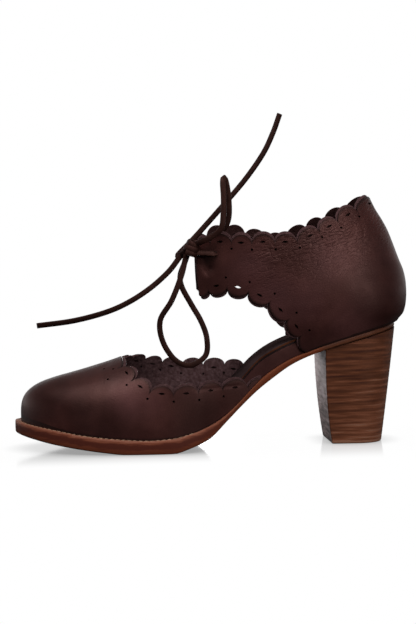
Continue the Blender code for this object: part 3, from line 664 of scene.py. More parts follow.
def quarter_columns(side, margin):
    """Columns of (point, outward) from the lower edge to the collar, from the strap's front to the back."""
    def surface(turn, z):
        return quarter_point(side, turn, z)

    collar, under = collar_notches(side), lower_notches(side)
    upper = scalloped_edge(surface, collar, [COLLAR_SCALLOP] * len(collar), -1, margin,
                           last=(0.0, COLLAR_BACK_Z + margin))
    lower = scalloped_edge(surface, under, [LOWER_SCALLOP] * len(under), 1, margin, last=under[-1])
    foot = under[-1]
    steps = len(upper) - len(lower)
    for k in range(1, steps + 1):
        turn = foot[0] * (1 - k / steps)
        level = solve(GAP, lambda z: z - sole_top(surface(turn, z).x), QUARTER[0][0], COLLAR_BACK_Z)
        lower.append((Vector((turn, level + NOTCH_FLOOR)), Vector((turn, level))))
    columns = []
    for (low, low_tip), (high, high_tip) in zip(lower, upper):
        track = [low_tip.lerp(low, row / SCALLOP_ROWS) for row in range(SCALLOP_ROWS)]
        track += [low.lerp(high, row / PANEL_ROWS) for row in range(PANEL_ROWS)]
        track += [high.lerp(high_tip, row / SCALLOP_ROWS) for row in range(SCALLOP_ROWS + 1)]
        columns.append([on_surface(surface, at, side) for at in track])
    return columns


# Meshes

def add_piece(name, mesh, replaced=None):
    """Link a finished mesh or curve, let it ride on the shoe and hide the part it replaces, if any."""
    piece = bpy.data.objects.new(name, mesh)
    bpy.context.scene.collection.objects.link(piece)
    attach(piece, "root")
    if replaced:
        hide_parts(replaced)
    return piece


def finish_mesh(name, bm, materials):
    """Merge doubles, turn the faces out and hand over a smooth mesh with its real edges kept sharp."""
    bmesh.ops.remove_doubles(bm, verts=bm.verts, dist=MERGE)
    bmesh.ops.dissolve_degenerate(bm, dist=MERGE, edges=bm.edges)
    bmesh.ops.recalc_face_normals(bm, faces=bm.faces)
    mesh = bpy.data.meshes.new(name)
    bm.to_mesh(mesh)
    bm.free()
    for material in materials:
        mesh.materials.append(material)
    mesh.shade_smooth()
    mesh.set_sharp_from_angle(angle=SHARP_ANGLE)
    return mesh


def skin(bm, rings):
    """Close a row of equal rings of vertices with faces between them and a cap at each end."""
    count = len(rings[0])
    for before, after in zip(rings, rings[1:]):
        for k in range(count):
            n = (k + 1) % count
            bm.faces.new((before[k], before[n], after[n], after[k]))
    bm.faces.new(list(reversed(rings[0])))
    bm.faces.new(rings[-1])


def shape_object(name, bm):
    """An object for a shape that a geometry tree repeats."""
    bmesh.ops.recalc_face_normals(bm, faces=bm.faces)
    mesh = bpy.data.meshes.new(name)
    bm.to_mesh(mesh)
    bm.free()
    return bpy.data.objects.new(name, mesh)


def on_surface(surface, at, sign):
    """A point of a surface and the way out of the shoe there."""
    first, second = slopes(surface, at)
    return surface(*at), first.cross(second).normalized() * sign


def wall_rings(columns, depth, thickness, relief):
    """Closed rings of points, one for each column, round a wall with rounded free edges."""
    rings = []
    for column in columns:
        outer = [p - n * depth + n * relief(p) for p, n in column]
        inner = [p - n * (depth + thickness) + n * relief(p) for p, n in column]
        rims = []
        for end, beside in ((-1, -2), (0, 1)):
            edge = (column[end][0] - column[beside][0]).normalized() * EDGE_ROUND
            rims.append([outer[end].lerp(inner[end], share) + edge * bulge for share, bulge in RIM])
        rings.append(outer + rims[0] + list(reversed(inner)) + list(reversed(rims[1])))
    return rings


def edge_shade_tone(ring, walls, k):
    """1 on a wall's cut edge, fading out across its outer side: where it is painted dark as painted shade.
    """
    if k >= walls - 1:
        return 1.0
    away = min((ring[k] - ring[0]).length, (ring[k + 1] - ring[walls - 1]).length)
    return math.exp(-(away / EDGE_FADE) ** 2)


def flesh_tone(ring, walls, k):
    """1 on a lining's rough outer side and its rims, 0 on the smooth side towards the foot."""
    inner = walls + len(RIM)
    return 0.0 if inner <= k < inner + walls - 1 else 1.0


def wall_mesh(name, rings, material, tone):
    """A closed wall from the rings of its columns, with a tone on each of its faces."""
    bm = bmesh.new()
    layer = bm.faces.layers.float.new("tone")
    rows = [[bm.verts.new(placed(point)) for point in ring] for ring in rings]
    count = len(rows[0])
    walls = count // 2 - len(RIM)
    for ring, before, after in zip(rings, rows, rows[1:]):
        for k in range(count):
            n = (k + 1) % count
            face = bm.faces.new((before[k], before[n], after[n], after[k]))
            face[layer] = tone(ring, walls, k)
    for row in (rows[0], rows[-1]):
        inner = list(reversed(row[walls + len(RIM):2 * walls + len(RIM)]))
        caps = [bm.faces.new((row[k], row[k + 1], inner[k + 1], inner[k])) for k in range(walls - 1)]
        caps.append(bm.faces.new(row[walls - 1:walls + len(RIM) + 1]))
        caps.append(bm.faces.new([*row[2 * walls + len(RIM) - 1:], row[0]]))
        for face in caps:
            face[layer] = 1.0
    return finish_mesh(name, bm, [material])


# Cut-outs

def cut_place(surface, sign, at, along, size, through=False):
    """One cut-out: its point, the way out and the way it runs there, its size, and whether it is open."""
    point, out = on_surface(surface, at, sign)
    return point, out, along, size, through


def edge_cuts(surface, sign, notches, fullness, outward, slot_depth, pin_depth, open_slot=None):
    """Slots of the scallops and pinholes of the notches along one edge, after its first scallop."""
    slots, pins = [], []
    frames = [scallop_frame(surface, a, b, outward) for a, b in zip(notches, notches[1:])]
    for k, (length, way) in enumerate(frames[1:], 1):
        middle = (Vector(notches[k]) + Vector(notches[k + 1])) / 2
        along = (surface(*notches[k + 1]) - surface(*notches[k])).normalized()
        at = middle + way * (length / 2 * fullness - slot_depth)
        slots.append(cut_place(surface, sign, at, along, 1.0, k == open_slot))
        if k > 1:
            way = (way + frames[k - 1][1]) / 2
            pins.append(cut_place(surface, sign, Vector(notches[k]) - way * pin_depth, along, PIN_RADIUS))
    return slots, pins


def vamp_cuts():
    """Slots and pinholes of the vamp."""
    slots, pins = [], []
    for side in (LATERAL, MEDIAL):
        def surface(x, climb, side=side):
            return vamp_point(side, x, climb)

        more_slots, more_pins = edge_cuts(surface, -side, vamp_notches(side), VAMP_SCALLOP, 1,
                                          SLOT_DEPTH["vamp"], PIN_DEPTH["vamp"])
        slots += more_slots[:-1]
        throat = [(x, vamp_climb(LATERAL, x, z)) for x, z in THROAT_PINS]
        pins += more_pins[:-1]
        pins += [cut_place(surface, -side, at, Vector((1.0, 0.0, 0.0)), PIN_RADIUS) for at in throat]
    return slots, pins


def quarter_cuts():
    """Slots and pinholes of the quarter, and the hole for the thong through both straps."""
    slots, pins = [], []
    for side in (LATERAL, MEDIAL):
        def surface(turn, z, side=side):
            return quarter_point(side, turn, z)

        for name, notches, fullness, outward in (("collar", collar_notches(side), COLLAR_SCALLOP, -1),
                                                 ("lower", lower_notches(side), LOWER_SCALLOP, 1)):
            more_slots, more_pins = edge_cuts(surface, side, notches, fullness, outward, SLOT_DEPTH[name],
                                              PIN_DEPTH[name], OPEN_SLOT if name == "lower" else None)
            slots += more_slots[:-1] if name == "lower" else more_slots
            pins += more_pins
        hole = (quarter_turn(STRAP_HOLE_X, STRAP_HOLE_Z), STRAP_HOLE_Z)
        pins.append(cut_place(surface, side, hole, Vector((1.0, 0.0, 0.0)), LACE_HOLE_RADIUS, True))
    return slots, pins


def from_both_sides(cuts):
    """Cut-outs of a lining: the open ones go through, the rest leave a web between its two sides."""
    split = []
    for point, out, *rest, through in cuts:
        depths = (0.0,) if through else (WEB_DEPTH - CUTTER_DEPTH, WEB_DEPTH + WEB + CUTTER_DEPTH)
        split += [(point - out * depth, out, *rest, through) for depth in depths]
    return split


def cutter(name, outline, tone):
    """A prism with the outline of one cut-out, in metres, along Z, and the tone that paints the faces it
    cuts dark as painted shade.
    """
    bm = bmesh.new()
    layer = bm.faces.layers.float.new("tone")
    depths = (-CUTTER_DEPTH, CUTTER_DEPTH)
    skin(bm, [[bm.verts.new((x * MM, y * MM, z * MM)) for x, y in outline] for z in depths])
    for face in bm.faces:
        face[layer] = tone
    return shape_object(name, bm)


def leaf_outline():
    """A pointed leaf, SLOT_LENGTH long."""
    steps = [k / LEAF_STEPS for k in range(LEAF_STEPS)]
    side = [(SLOT_LENGTH * (step - 0.5), SLOT_WIDTH / 2 * math.sin(math.pi * step)) for step in steps]
    return side + [(-x, -y) for x, y in side]


def round_outline():
    """A circle of 1 mm radius."""
    angles = [2 * math.pi * k / ROUND_STEPS for k in range(ROUND_STEPS)]
    return [(math.cos(angle), math.sin(angle)) for angle in angles]


def cut_points(name, cuts):
    """A cloud of points that carries how each cut-out faces and runs, and its size."""
    mesh = bpy.data.meshes.new(name)
    mesh.from_pydata([placed(cut[0]) for cut in cuts], [], [])
    for attribute, index in (("facing", 1), ("along", 2)):
        layer = mesh.attributes.new(attribute, "FLOAT_VECTOR", "POINT")
        for item, cut in zip(layer.data, cuts):
            item.vector = cut[index]
    layer = mesh.attributes.new("size", "FLOAT", "POINT")
    for item, cut in zip(layer.data, cuts):
        item.value = cut[3]
    return bpy.data.objects.new(name, mesh)


def add_node(tree, kind, inputs=None, stops=(), **settings):
    """Add a node, set its settings and colour stops, and set or link its inputs by name or number."""
    node = tree.nodes.new(kind)
    for name, value in settings.items():
        setattr(node, name, value)
    for name, value in (inputs or {}).items():
        if isinstance(value, bpy.types.NodeSocket):
            tree.links.new(value, node.inputs[name])
        else:
            node.inputs[name].default_value = value
    for k, (place, colour) in enumerate(stops):
        elements = node.color_ramp.elements
        element = elements[k] if k < 2 else elements.new(place)
        element.position = place
        element.color = linear(colour)
    return node


def new_tree(name, sockets):
    """An empty geometry tree with a geometry output and the named inputs."""
    tree = bpy.data.node_groups.new(name, "GeometryNodeTree")
    tree.interface.new_socket("Geometry", in_out="OUTPUT", socket_type="NodeSocketGeometry")
    tree.interface.new_socket("Geometry", in_out="INPUT", socket_type="NodeSocketGeometry")
    for socket, kind in sockets:
        tree.interface.new_socket(socket, in_out="INPUT", socket_type=kind)
    return tree, tree.nodes.new("NodeGroupInput").outputs


def perforation_tree():
    """Cuts one shape through a panel at each point of a cloud."""
    tree, given = new_tree("perforate", (("Holes", "NodeSocketObject"), ("Cutter", "NodeSocketObject"),
                                         ("Leather", "NodeSocketMaterial")))
    holes = add_node(tree, "GeometryNodeObjectInfo", {"Object": given["Holes"]})
    shape = add_node(tree, "GeometryNodeObjectInfo", {"Object": given["Cutter"], "As Instance": True})
    facing, along, size = [
        add_node(tree, "GeometryNodeInputNamedAttribute", {"Name": name}, data_type=kind).outputs[0]
        for name, kind in (("facing", "FLOAT_VECTOR"), ("along", "FLOAT_VECTOR"), ("size", "FLOAT"))]
    turned = add_node(tree, "FunctionNodeAxesToRotation", {0: facing, 1: along},
                      primary_axis="Z", secondary_axis="X")
    scale = add_node(tree, "ShaderNodeCombineXYZ", {0: size, 1: size, 2: 1.0})
    cuts = add_node(tree, "GeometryNodeInstanceOnPoints",
                    {"Points": holes.outputs["Geometry"], "Instance": shape.outputs["Geometry"],
                     "Rotation": turned.outputs[0], "Scale": scale.outputs[0]})
    solid = add_node(tree, "GeometryNodeRealizeInstances", {"Geometry": cuts.outputs[0]})
    panel = add_node(tree, "GeometryNodeMeshBoolean",
                     {"Mesh 1": given["Geometry"], "Mesh 2": solid.outputs[0]},
                     operation="DIFFERENCE", solver="EXACT")
    done = add_node(tree, "GeometryNodeSetMaterial",
                    {"Geometry": panel.outputs[0], "Material": given["Leather"]})
    add_node(tree, "NodeGroupOutput", {0: done.outputs[0]})
    return tree


def run_tree(mesh, tree, values, name):
    """Run a geometry tree on a mesh and return the plain mesh it makes."""
    holder = bpy.data.objects.new(name, mesh)
    bpy.context.scene.collection.objects.link(holder)
    modifier = holder.modifiers.new(name, "NODES")
    modifier.node_group = tree
    sockets = {item.name: item.identifier for item in tree.interface.items_tree if item.in_out == "INPUT"}
    for socket, value in values.items():
        modifier[sockets[socket]] = value
    depsgraph = bpy.context.evaluated_depsgraph_get()
    made = bpy.data.meshes.new_from_object(holder.evaluated_get(depsgraph))
    bpy.data.objects.remove(holder)
    made.name = name
    return made


def perforated(name, mesh, cuts, material, wall_shade_tone):
    """A panel with its slots and pinholes cut out, and the tone that paints their walls dark as painted
    shade.
    """
    tree = perforation_tree()
    for places, outline in zip(cuts, (leaf_outline(), round_outline())):
        points, tool = cut_points("cut_points", places), cutter("cut_tool", outline, wall_shade_tone)
        mesh = run_tree(mesh, tree, {"Holes": points, "Cutter": tool, "Leather": material}, name)
        bpy.data.objects.remove(points)
        bpy.data.objects.remove(tool)
    mesh.shade_smooth()
    mesh.set_sharp_from_angle(angle=SHARP_ANGLE)
    return mesh


# Materials

def linear(colour):
    """An sRGB hex colour as linear RGBA."""
    parts = [int(colour[k:k + 2], 16) / 255 for k in (1, 3, 5)]
    return [c / 12.92 if c <= 0.04045 else ((c + 0.055) / 1.055) ** 2.4 for c in parts] + [1.0]


def per_metre(size_mm):
    """Texture scale for features of a size in mm."""
    return 1000.0 / size_mm


def start_material(name, **sockets):
    """A material with its shader's constant sockets set, and the piece's own coordinates."""
    material = bpy.data.materials.new(name)
    material.use_nodes = True
    tree = material.node_tree
    shader = tree.nodes["Principled BSDF"]
    for socket, value in sockets.items():
        shader.inputs[socket.replace("_", " ")].default_value = value
    here = add_node(tree, "ShaderNodeTexCoord").outputs["Object"]
    return material, tree, shader, here


def patch_mask(tree, here, patches):
    """How far inside any of a list of round patches a point is: their places, radius and strength."""
    mask = 0.0
    for *centre, radius, strength in patches:
        away = add_node(tree, "ShaderNodeVectorMath", {0: here, 1: placed(centre)}, operation="DISTANCE")
        inside = add_node(tree, "ShaderNodeMapRange",
                          {"Value": away.outputs["Value"], "From Min": radius * MM, "From Max": 0.0,
                           "To Max": strength}, interpolation_type="SMOOTHSTEP")
        most = add_node(tree, "ShaderNodeMath", {0: mask, 1: inside.outputs["Result"]}, operation="MAXIMUM")
        mask = most.outputs[0]
    return mask


def upper_leather(wrinkled):
    """Drum-dyed calf leather, waxed: dark brown with a soft sheen, painted lighter in some places as
    painted highlights and dull and painted darker in others as painted shade, painted dark as painted shade
    at its cut edges and in the pucker under the knot, with fine pores, and a net of wrinkles under the
    collar where the foot bends it."""
    material, tree, shader, here = start_material("waxed_calf_leather", IOR=1.46,
                                                  Specular_Tint=linear(GLOSS_TINTS["upper"]))
    cloud = add_node(tree, "ShaderNodeTexNoise",
                     {"Vector": here, "Scale": per_metre(UPPER_CLOUD), "Detail": 4.0})
    colour = add_node(tree, "ShaderNodeValToRGB", {"Fac": cloud.outputs["Fac"]}, stops=UPPER_BROWNS)
    # Painted highlights lighten the first patches; painted shade darkens the dull patches, the pucker under
    # the knot and the cut edges.
    painted_highlight = patch_mask(tree, here, PAINTED_HIGHLIGHT_PATCHES)
    # the dull mask also carries painted shade: its patches are painted darker
    dull = patch_mask(tree, here, DULL_SHADED_PATCHES)
    # the waxed mask is a painted shadow in the pucker under the knot
    waxed = patch_mask(tree, here, PUCKER_SHADE_PATCHES)
    cut = add_node(tree, "ShaderNodeAttribute", attribute_name="tone").outputs["Fac"]
    shade = colour.outputs["Color"]
    for mask, other in ((painted_highlight, PAINTED_HIGHLIGHT_BROWN), (dull, PAINTED_SHADE_BROWN), (waxed, PUCKER_SHADE_BROWN), (cut, CUT_SHADE_BROWN)):
        mixed = add_node(tree, "ShaderNodeMix", {"Factor": mask, MIX_A: shade, MIX_B: linear(other)},
                         data_type="RGBA")
        shade = mixed.outputs[MIX_RESULT]
    tree.links.new(shade, shader.inputs["Base Color"])
    wax = add_node(tree, "ShaderNodeMapRange", {"Value": dull, "To Min": UPPER_GLOSS, "To Max": DULL_GLOSS})
    tree.links.new(wax.outputs["Result"], shader.inputs["Specular IOR Level"])
    patch = add_node(tree, "ShaderNodeTexNoise", {"Vector": here, "Scale": per_metre(UPPER_SHEEN)})
    sheen = add_node(tree, "ShaderNodeMapRange",
                     {"Value": patch.outputs["Fac"], **NOISE_RANGE, "To Min": UPPER_ROUGHNESS[0],
                      "To Max": UPPER_ROUGHNESS[1]})
    tree.links.new(sheen.outputs["Result"], shader.inputs["Roughness"])
    pores = add_node(tree, "ShaderNodeTexVoronoi", {"Vector": here, "Scale": per_metre(PORE)})
    normal = add_node(tree, "ShaderNodeBump",
                      {"Height": pores.outputs["Distance"], "Strength": 0.3, "Distance": PORE_DEPTH * MM})
    if wrinkled:
        normal = add_wrinkles(tree, here, normal)
    tree.links.new(normal.outputs["Normal"], shader.inputs["Normal"])
    return material


def add_wrinkles(tree, here, normal):
    """A net of wrinkles drawn out along the collar, strongest just under its scallops."""
    along = add_node(tree, "ShaderNodeMapping", {"Vector": here, "Rotation": (0.0, COLLAR_SLOPE, 0.0)})
    drawn = add_node(tree, "ShaderNodeMapping", {"Vector": along.outputs[0], "Scale": WRINKLE_DRAWN})
    warp = add_node(tree, "ShaderNodeTexNoise", {"Vector": here, "Scale": per_metre(WRINKLE_WARP)})
    bent = add_node(tree, "ShaderNodeVectorMath", {0: warp.outputs["Color"], "Scale": WRINKLE_BEND * MM},
                    operation="SCALE")
    place = add_node(tree, "ShaderNodeVectorMath", {0: drawn.outputs[0], 1: bent.outputs[0]},
                     operation="ADD")
    net = add_node(tree, "ShaderNodeTexVoronoi", {"Vector": place.outputs[0], "Scale": per_metre(WRINKLE)},
                   feature="DISTANCE_TO_EDGE")
    fold = add_node(tree, "ShaderNodeMapRange",
                    {"Value": net.outputs["Distance"], "From Max": WRINKLE_FOLD})
    height = add_node(tree, "ShaderNodeSeparateXYZ", {0: along.outputs[0]})
    above = add_node(tree, "ShaderNodeMapRange",
                     {"Value": height.outputs["Z"], "From Min": WRINKLE_LOW * MM,
                      "From Max": WRINKLE_HIGH * MM})
    sides = add_node(tree, "ShaderNodeSeparateXYZ", {0: here})
    behind = add_node(tree, "ShaderNodeMapRange",
                      {"Value": sides.outputs["X"], "From Min": WRINKLE_FRONT * MM,
                       "From Max": WRINKLE_FULL * MM})
    where = add_node(tree, "ShaderNodeMath", {0: above.outputs["Result"], 1: behind.outputs["Result"]},
                     operation="MULTIPLY")
    return add_node(tree, "ShaderNodeBump",
                    {"Height": fold.outputs["Result"], "Strength": where.outputs[0],
                     "Distance": WRINKLE_DEPTH * MM, "Normal": normal.outputs["Normal"]})


def lining_leather(part):
    """Pigskin lining: a mauve flesh side that shows past the leather, matt and rough, a smooth side
    towards the foot that is darker low down, with each part's browns a lit or shaded copy as painted light
    and shade, and cut-out walls painted dark as painted shade."""
    material, tree, shader, here = start_material("pigskin_lining", IOR=1.45, Roughness=0.6,
                                                  Specular_IOR_Level=0.15,
                                                  Specular_Tint=linear(GLOSS_TINTS["lining"]))
    cloud = add_node(tree, "ShaderNodeTexNoise",
                     {"Vector": here, "Scale": per_metre(LINING_CLOUD), "Detail": 6.0})
    smooth = add_node(tree, "ShaderNodeValToRGB", {"Fac": cloud.outputs["Fac"]}, stops=LINING_BROWNS[part])
    flesh = add_node(tree, "ShaderNodeValToRGB", {"Fac": cloud.outputs["Fac"]}, stops=FLESH_MAUVES[part])
    height = add_node(tree, "ShaderNodeSeparateXYZ", {0: here})
    low_down = add_node(tree, "ShaderNodeMapRange",
                    {"Value": height.outputs["Z"], "From Min": LINING_DARK_HIGH * MM, "From Max": LINING_DARK_LOW * MM})
    side = add_node(tree, "ShaderNodeAttribute", attribute_name="tone").outputs["Fac"]
    # The lining's cut-out walls are painted dark as painted shade
    cut = add_node(tree, "ShaderNodeMath", {0: side, 1: -1.0}, operation="MULTIPLY")
    shade = smooth.outputs["Color"]
    for mask, other in ((low_down.outputs["Result"], linear(LOW_LINING_BROWN)), (side, flesh.outputs["Color"]),
                        (cut.outputs[0], linear(CUT_SHADE_BROWN))):
        mixed = add_node(tree, "ShaderNodeMix", {"Factor": mask, MIX_A: shade, MIX_B: other},
                         data_type="RGBA")
        shade = mixed.outputs[MIX_RESULT]
    tree.links.new(shade, shader.inputs["Base Color"])
    nap = add_node(tree, "ShaderNodeTexNoise",
                   {"Vector": here, "Scale": per_metre(LINING_NAP), "Detail": 4.0})
    normal = add_node(tree, "ShaderNodeBump",
                      {"Height": nap.outputs["Fac"], "Strength": 0.8, "Distance": LINING_DEPTH * MM})
    tree.links.new(normal.outputs["Normal"], shader.inputs["Normal"])
    return material


def thong_leather():
    """Oiled latigo thong: dark brown with a dull gloss and a fibrous cut edge."""
    material, tree, shader, here = start_material("oiled_latigo_thong", IOR=1.46, Roughness=0.55,
                                                  Specular_IOR_Level=0.25,
                                                  Specular_Tint=linear(GLOSS_TINTS["thong"]))
    cloud = add_node(tree, "ShaderNodeTexNoise",
                     {"Vector": here, "Scale": per_metre(THONG_CLOUD), "Detail": 4.0})
    colour = add_node(tree, "ShaderNodeValToRGB", {"Fac": cloud.outputs["Fac"]}, stops=THONG_BROWNS)
    tree.links.new(colour.outputs["Color"], shader.inputs["Base Color"])
    fibre = add_node(tree, "ShaderNodeTexNoise",
                     {"Vector": here, "Scale": per_metre(THONG_FIBRE), "Detail": 4.0})
    normal = add_node(tree, "ShaderNodeBump",
                      {"Height": fibre.outputs["Fac"], "Strength": 0.5, "Distance": THONG_DEPTH * MM})
    tree.links.new(normal.outputs["Normal"], shader.inputs["Normal"])
    return material


def sole_leather():
    """Vegetable-tanned bend leather: an edge stained red-brown and burnished, paler at both rims, with
    the fibres drawn out along it."""
    material, tree, shader, here = start_material("burnished_bend_leather", IOR=1.5, Roughness=0.45,
                                                  Specular_IOR_Level=0.12,
                                                  Specular_Tint=linear(GLOSS_TINTS["sole"]))
    rise = add_node(tree, "ShaderNodeAttribute", attribute_name="rise")
    drawn = add_node(tree, "ShaderNodeMapping", {"Vector": here, "Scale": SOLE_DRAWN})
    fibre = add_node(tree, "ShaderNodeTexNoise",
                     {"Vector": drawn.outputs[0], "Scale": per_metre(SOLE_FIBRE), "Detail": 4.0})
    shift = add_node(tree, "ShaderNodeMapRange",
                     {"Value": fibre.outputs["Fac"], **NOISE_RANGE, "To Min": -SOLE_SHIFT,
                      "To Max": SOLE_SHIFT})
    level = add_node(tree, "ShaderNodeMath", {0: rise.outputs["Fac"], 1: shift.outputs["Result"]},
                     operation="ADD")
    colour = add_node(tree, "ShaderNodeValToRGB", {"Fac": level.outputs[0]}, stops=SOLE_BROWNS)
    shade = colour.outputs["Color"]
    place = add_node(tree, "ShaderNodeSeparateXYZ", {0: here})
    for stops, low, high in ((WAIST_BROWNS, *WAIST_BLEND), (SEAT_BROWNS, *SEAT_BLEND)):
        beyond = add_node(tree, "ShaderNodeValToRGB", {"Fac": level.outputs[0]}, stops=stops)
        behind = add_node(tree, "ShaderNodeMapRange",
                          {"Value": place.outputs["X"], "From Min": low * MM, "From Max": high * MM})
        mixed = add_node(tree, "ShaderNodeMix",
                         {"Factor": behind.outputs["Result"], MIX_A: shade, MIX_B: beyond.outputs["Color"]},
                         data_type="RGBA")
        shade = mixed.outputs[MIX_RESULT]
    tree.links.new(shade, shader.inputs["Base Color"])
    normal = add_node(tree, "ShaderNodeBump",
                      {"Height": fibre.outputs["Fac"], "Strength": 0.3, "Distance": SOLE_DEPTH * MM})
    tree.links.new(normal.outputs["Normal"], shader.inputs["Normal"])
    return material


def stacked_leather():
    """Lifts of sole leather glued up and sanded flush: bands of lighter and darker brown with fine fibre
    streaks, under a coat of polish, painted lighter low at the back and darker high at the front as painted
    light and shade."""
    material, tree, shader, here = start_material("stacked_heel_leather", IOR=1.5, Specular_IOR_Level=0.25,
                                                  Specular_Tint=linear(GLOSS_TINTS["sole"]))
    tone = add_node(tree, "ShaderNodeAttribute", attribute_name="tone")
    drawn = add_node(tree, "ShaderNodeMapping",
                     {"Vector": here, "Scale": LIFT_DRAWN, "Rotation": (0.0, LIFT_TILT, 0.0)})
    fibre = add_node(tree, "ShaderNodeTexNoise",
                     {"Vector": drawn.outputs[0], "Scale": per_metre(LIFT_FIBRE), "Detail": 5.0})
    shift = add_node(tree, "ShaderNodeMapRange",
                     {"Value": fibre.outputs["Fac"], **WIDE_NOISE_RANGE, "To Min": -LIFT_SHIFT,
                      "To Max": LIFT_SHIFT})
    # Painted light and shade: lighter low at the back, darker high at the front
    back = add_node(tree, "ShaderNodeVectorMath", {0: here, 1: (1.0, 0.0, -1.0)}, operation="DOT_PRODUCT")
    painted_light = add_node(tree, "ShaderNodeMapRange",
                     {"Value": back.outputs["Value"], "From Min": HEEL_SHADED * MM,
                      "From Max": HEEL_LIT * MM, "To Min": HEEL_LIGHT_FADE[0], "To Max": HEEL_LIGHT_FADE[1]})
    level = tone.outputs["Fac"]
    for change in (shift, painted_light):
        total = add_node(tree, "ShaderNodeMath", {0: level, 1: change.outputs["Result"]}, operation="ADD")
        level = total.outputs[0]
    colour = add_node(tree, "ShaderNodeValToRGB", {"Fac": level}, stops=LIFT_BROWNS)
    tree.links.new(colour.outputs["Color"], shader.inputs["Base Color"])
    gloss = add_node(tree, "ShaderNodeMapRange",
                     {"Value": fibre.outputs["Fac"], **NOISE_RANGE, "To Min": LIFT_ROUGHNESS[0],
                      "To Max": LIFT_ROUGHNESS[1]})
    tree.links.new(gloss.outputs["Result"], shader.inputs["Roughness"])
    normal = add_node(tree, "ShaderNodeBump",
                      {"Height": fibre.outputs["Fac"], "Strength": 0.25, "Distance": LIFT_DEPTH * MM})
    tree.links.new(normal.outputs["Normal"], shader.inputs["Normal"])
    return material


def flap_leather():
    """The breast flap: thin split leather, mauve-grey and dull, paled in part as a painted reflection of
    the bright room, streaked across, darker to the bottom.
    """
    material, tree, shader, here = start_material("breast_flap_leather", IOR=1.45, Roughness=0.7,
                                                  Specular_IOR_Level=0.15)
    drawn = add_node(tree, "ShaderNodeMapping", {"Vector": here, "Scale": FLAP_DRAWN})
    streak = add_node(tree, "ShaderNodeTexNoise",
                      {"Vector": drawn.outputs[0], "Scale": per_metre(FLAP_STREAK), "Detail": 5.0})
    height = add_node(tree, "ShaderNodeSeparateXYZ", {0: here})
    rise = add_node(tree, "ShaderNodeMapRange",
                    {"Value": height.outputs["Z"], "From Max": FLAP_PALE * MM, "To Min": FLAP_FADE[0],
                     "To Max": FLAP_FADE[1]})
    level = add_node(tree, "ShaderNodeMath", {0: streak.outputs["Fac"], 1: rise.outputs["Result"]},
                     operation="ADD")
    colour = add_node(tree, "ShaderNodeValToRGB", {"Fac": level.outputs[0]}, stops=FLAP_MAUVES)
    tree.links.new(colour.outputs["Color"], shader.inputs["Base Color"])
    normal = add_node(tree, "ShaderNodeBump",
                      {"Height": streak.outputs["Fac"], "Strength": 0.4, "Distance": FLAP_DEPTH * MM})
    tree.links.new(normal.outputs["Normal"], shader.inputs["Normal"])
    return material


def soft_leather(name, browns, grain_mm, roughness, gloss):
    """A plain thin leather, cloudy with a fine grain: the sock, its cut edge and the rib's cover."""
    material, tree, shader, here = start_material(name, IOR=1.45, Roughness=roughness,
                                                  Specular_IOR_Level=gloss,
                                                  Specular_Tint=linear(GLOSS_TINTS["soft"]))
    cloud = add_node(tree, "ShaderNodeTexNoise",
                     {"Vector": here, "Scale": per_metre(SOFT_CLOUD), "Detail": 4.0})
    colour = add_node(tree, "ShaderNodeValToRGB", {"Fac": cloud.outputs["Fac"]}, stops=browns)
    tree.links.new(colour.outputs["Color"], shader.inputs["Base Color"])
    grain = add_node(tree, "ShaderNodeTexNoise",
                     {"Vector": here, "Scale": per_metre(grain_mm), "Detail": 3.0})
    normal = add_node(tree, "ShaderNodeBump",
                      {"Height": grain.outputs["Fac"], "Strength": 0.3, "Distance": SOFT_DEPTH * MM})
    tree.links.new(normal.outputs["Normal"], shader.inputs["Normal"])
    return material


def linen_thread():
    """Waxed linen thread: tan, matt, a little darker where dye has run in."""
    material, tree, shader, here = start_material("waxed_linen_thread", IOR=1.45, Roughness=0.6)
    cloud = add_node(tree, "ShaderNodeTexNoise", {"Vector": here, "Scale": per_metre(THREAD_CLOUD)})
    colour = add_node(tree, "ShaderNodeValToRGB", {"Fac": cloud.outputs["Fac"]}, stops=THREAD_TANS)
    tree.links.new(colour.outputs["Color"], shader.inputs["Base Color"])
    return material


# Lace

def smooth_route(points, spacing):
    """Evenly spaced points on a smooth curve through a cord's own route."""
    route = [Vector(point) for point in points]
    ends = [route[0] * 2 - route[1]] + route + [route[-1] * 2 - route[-2]]
    dense = []
    for a, b, c, d in zip(ends, ends[1:], ends[2:], ends[3:]):
        for k in range(ROUTE_STEPS):
            t = k / ROUTE_STEPS
            dense.append(0.5 * (2 * b + (c - a) * t + (2 * a - 5 * b + 4 * c - d) * t * t
                                + (3 * b - a - 3 * c + d) * t ** 3))
    dense.append(route[-1])
    lengths = [0.0]
    for before, after in zip(dense, dense[1:]):
        lengths.append(lengths[-1] + (after - before).length)
    count = max(2, round(lengths[-1] / spacing))
    picked = []
    for k in range(count + 1):
        target = lengths[-1] * k / count
        i = min(bisect.bisect_right(lengths, target + TINY) - 1, len(dense) - 2)
        share = (target - lengths[i]) / max(lengths[i + 1] - lengths[i], TINY)
        picked.append(dense[i].lerp(dense[i + 1], min(share, 1.0)))
    return picked


def thong_section():
    """Outline of the thong: a flat strip with rounded edges, as (across, out) pairs."""
    section = []
    for k in range(THONG_SIDES):
        angle = 2 * math.pi * k / THONG_SIDES
        across, out = math.cos(angle), math.sin(angle)
        section.append((math.copysign(abs(across) ** THONG_ROUND, across) * THONG_WIDTH / 2,
                        math.copysign(abs(out) ** THONG_ROUND, out) * THONG_THICK / 2))
    return section


def sweep_thong(bm, line, facings):
    """Add a flat thong along a line to a mesh; its broad side faces the given way at each point."""
    rings = []
    for k, (point, facing) in enumerate(zip(line, facings)):
        ahead = (line[min(k + 1, len(line) - 1)] - line[max(k - 1, 0)]).normalized()
        out = (facing - ahead * ahead.dot(facing)).normalized()
        across = ahead.cross(out)
        rings.append([bm.verts.new(placed(point + across * a + out * o)) for a, o in thong_section()])
    skin(bm, rings)


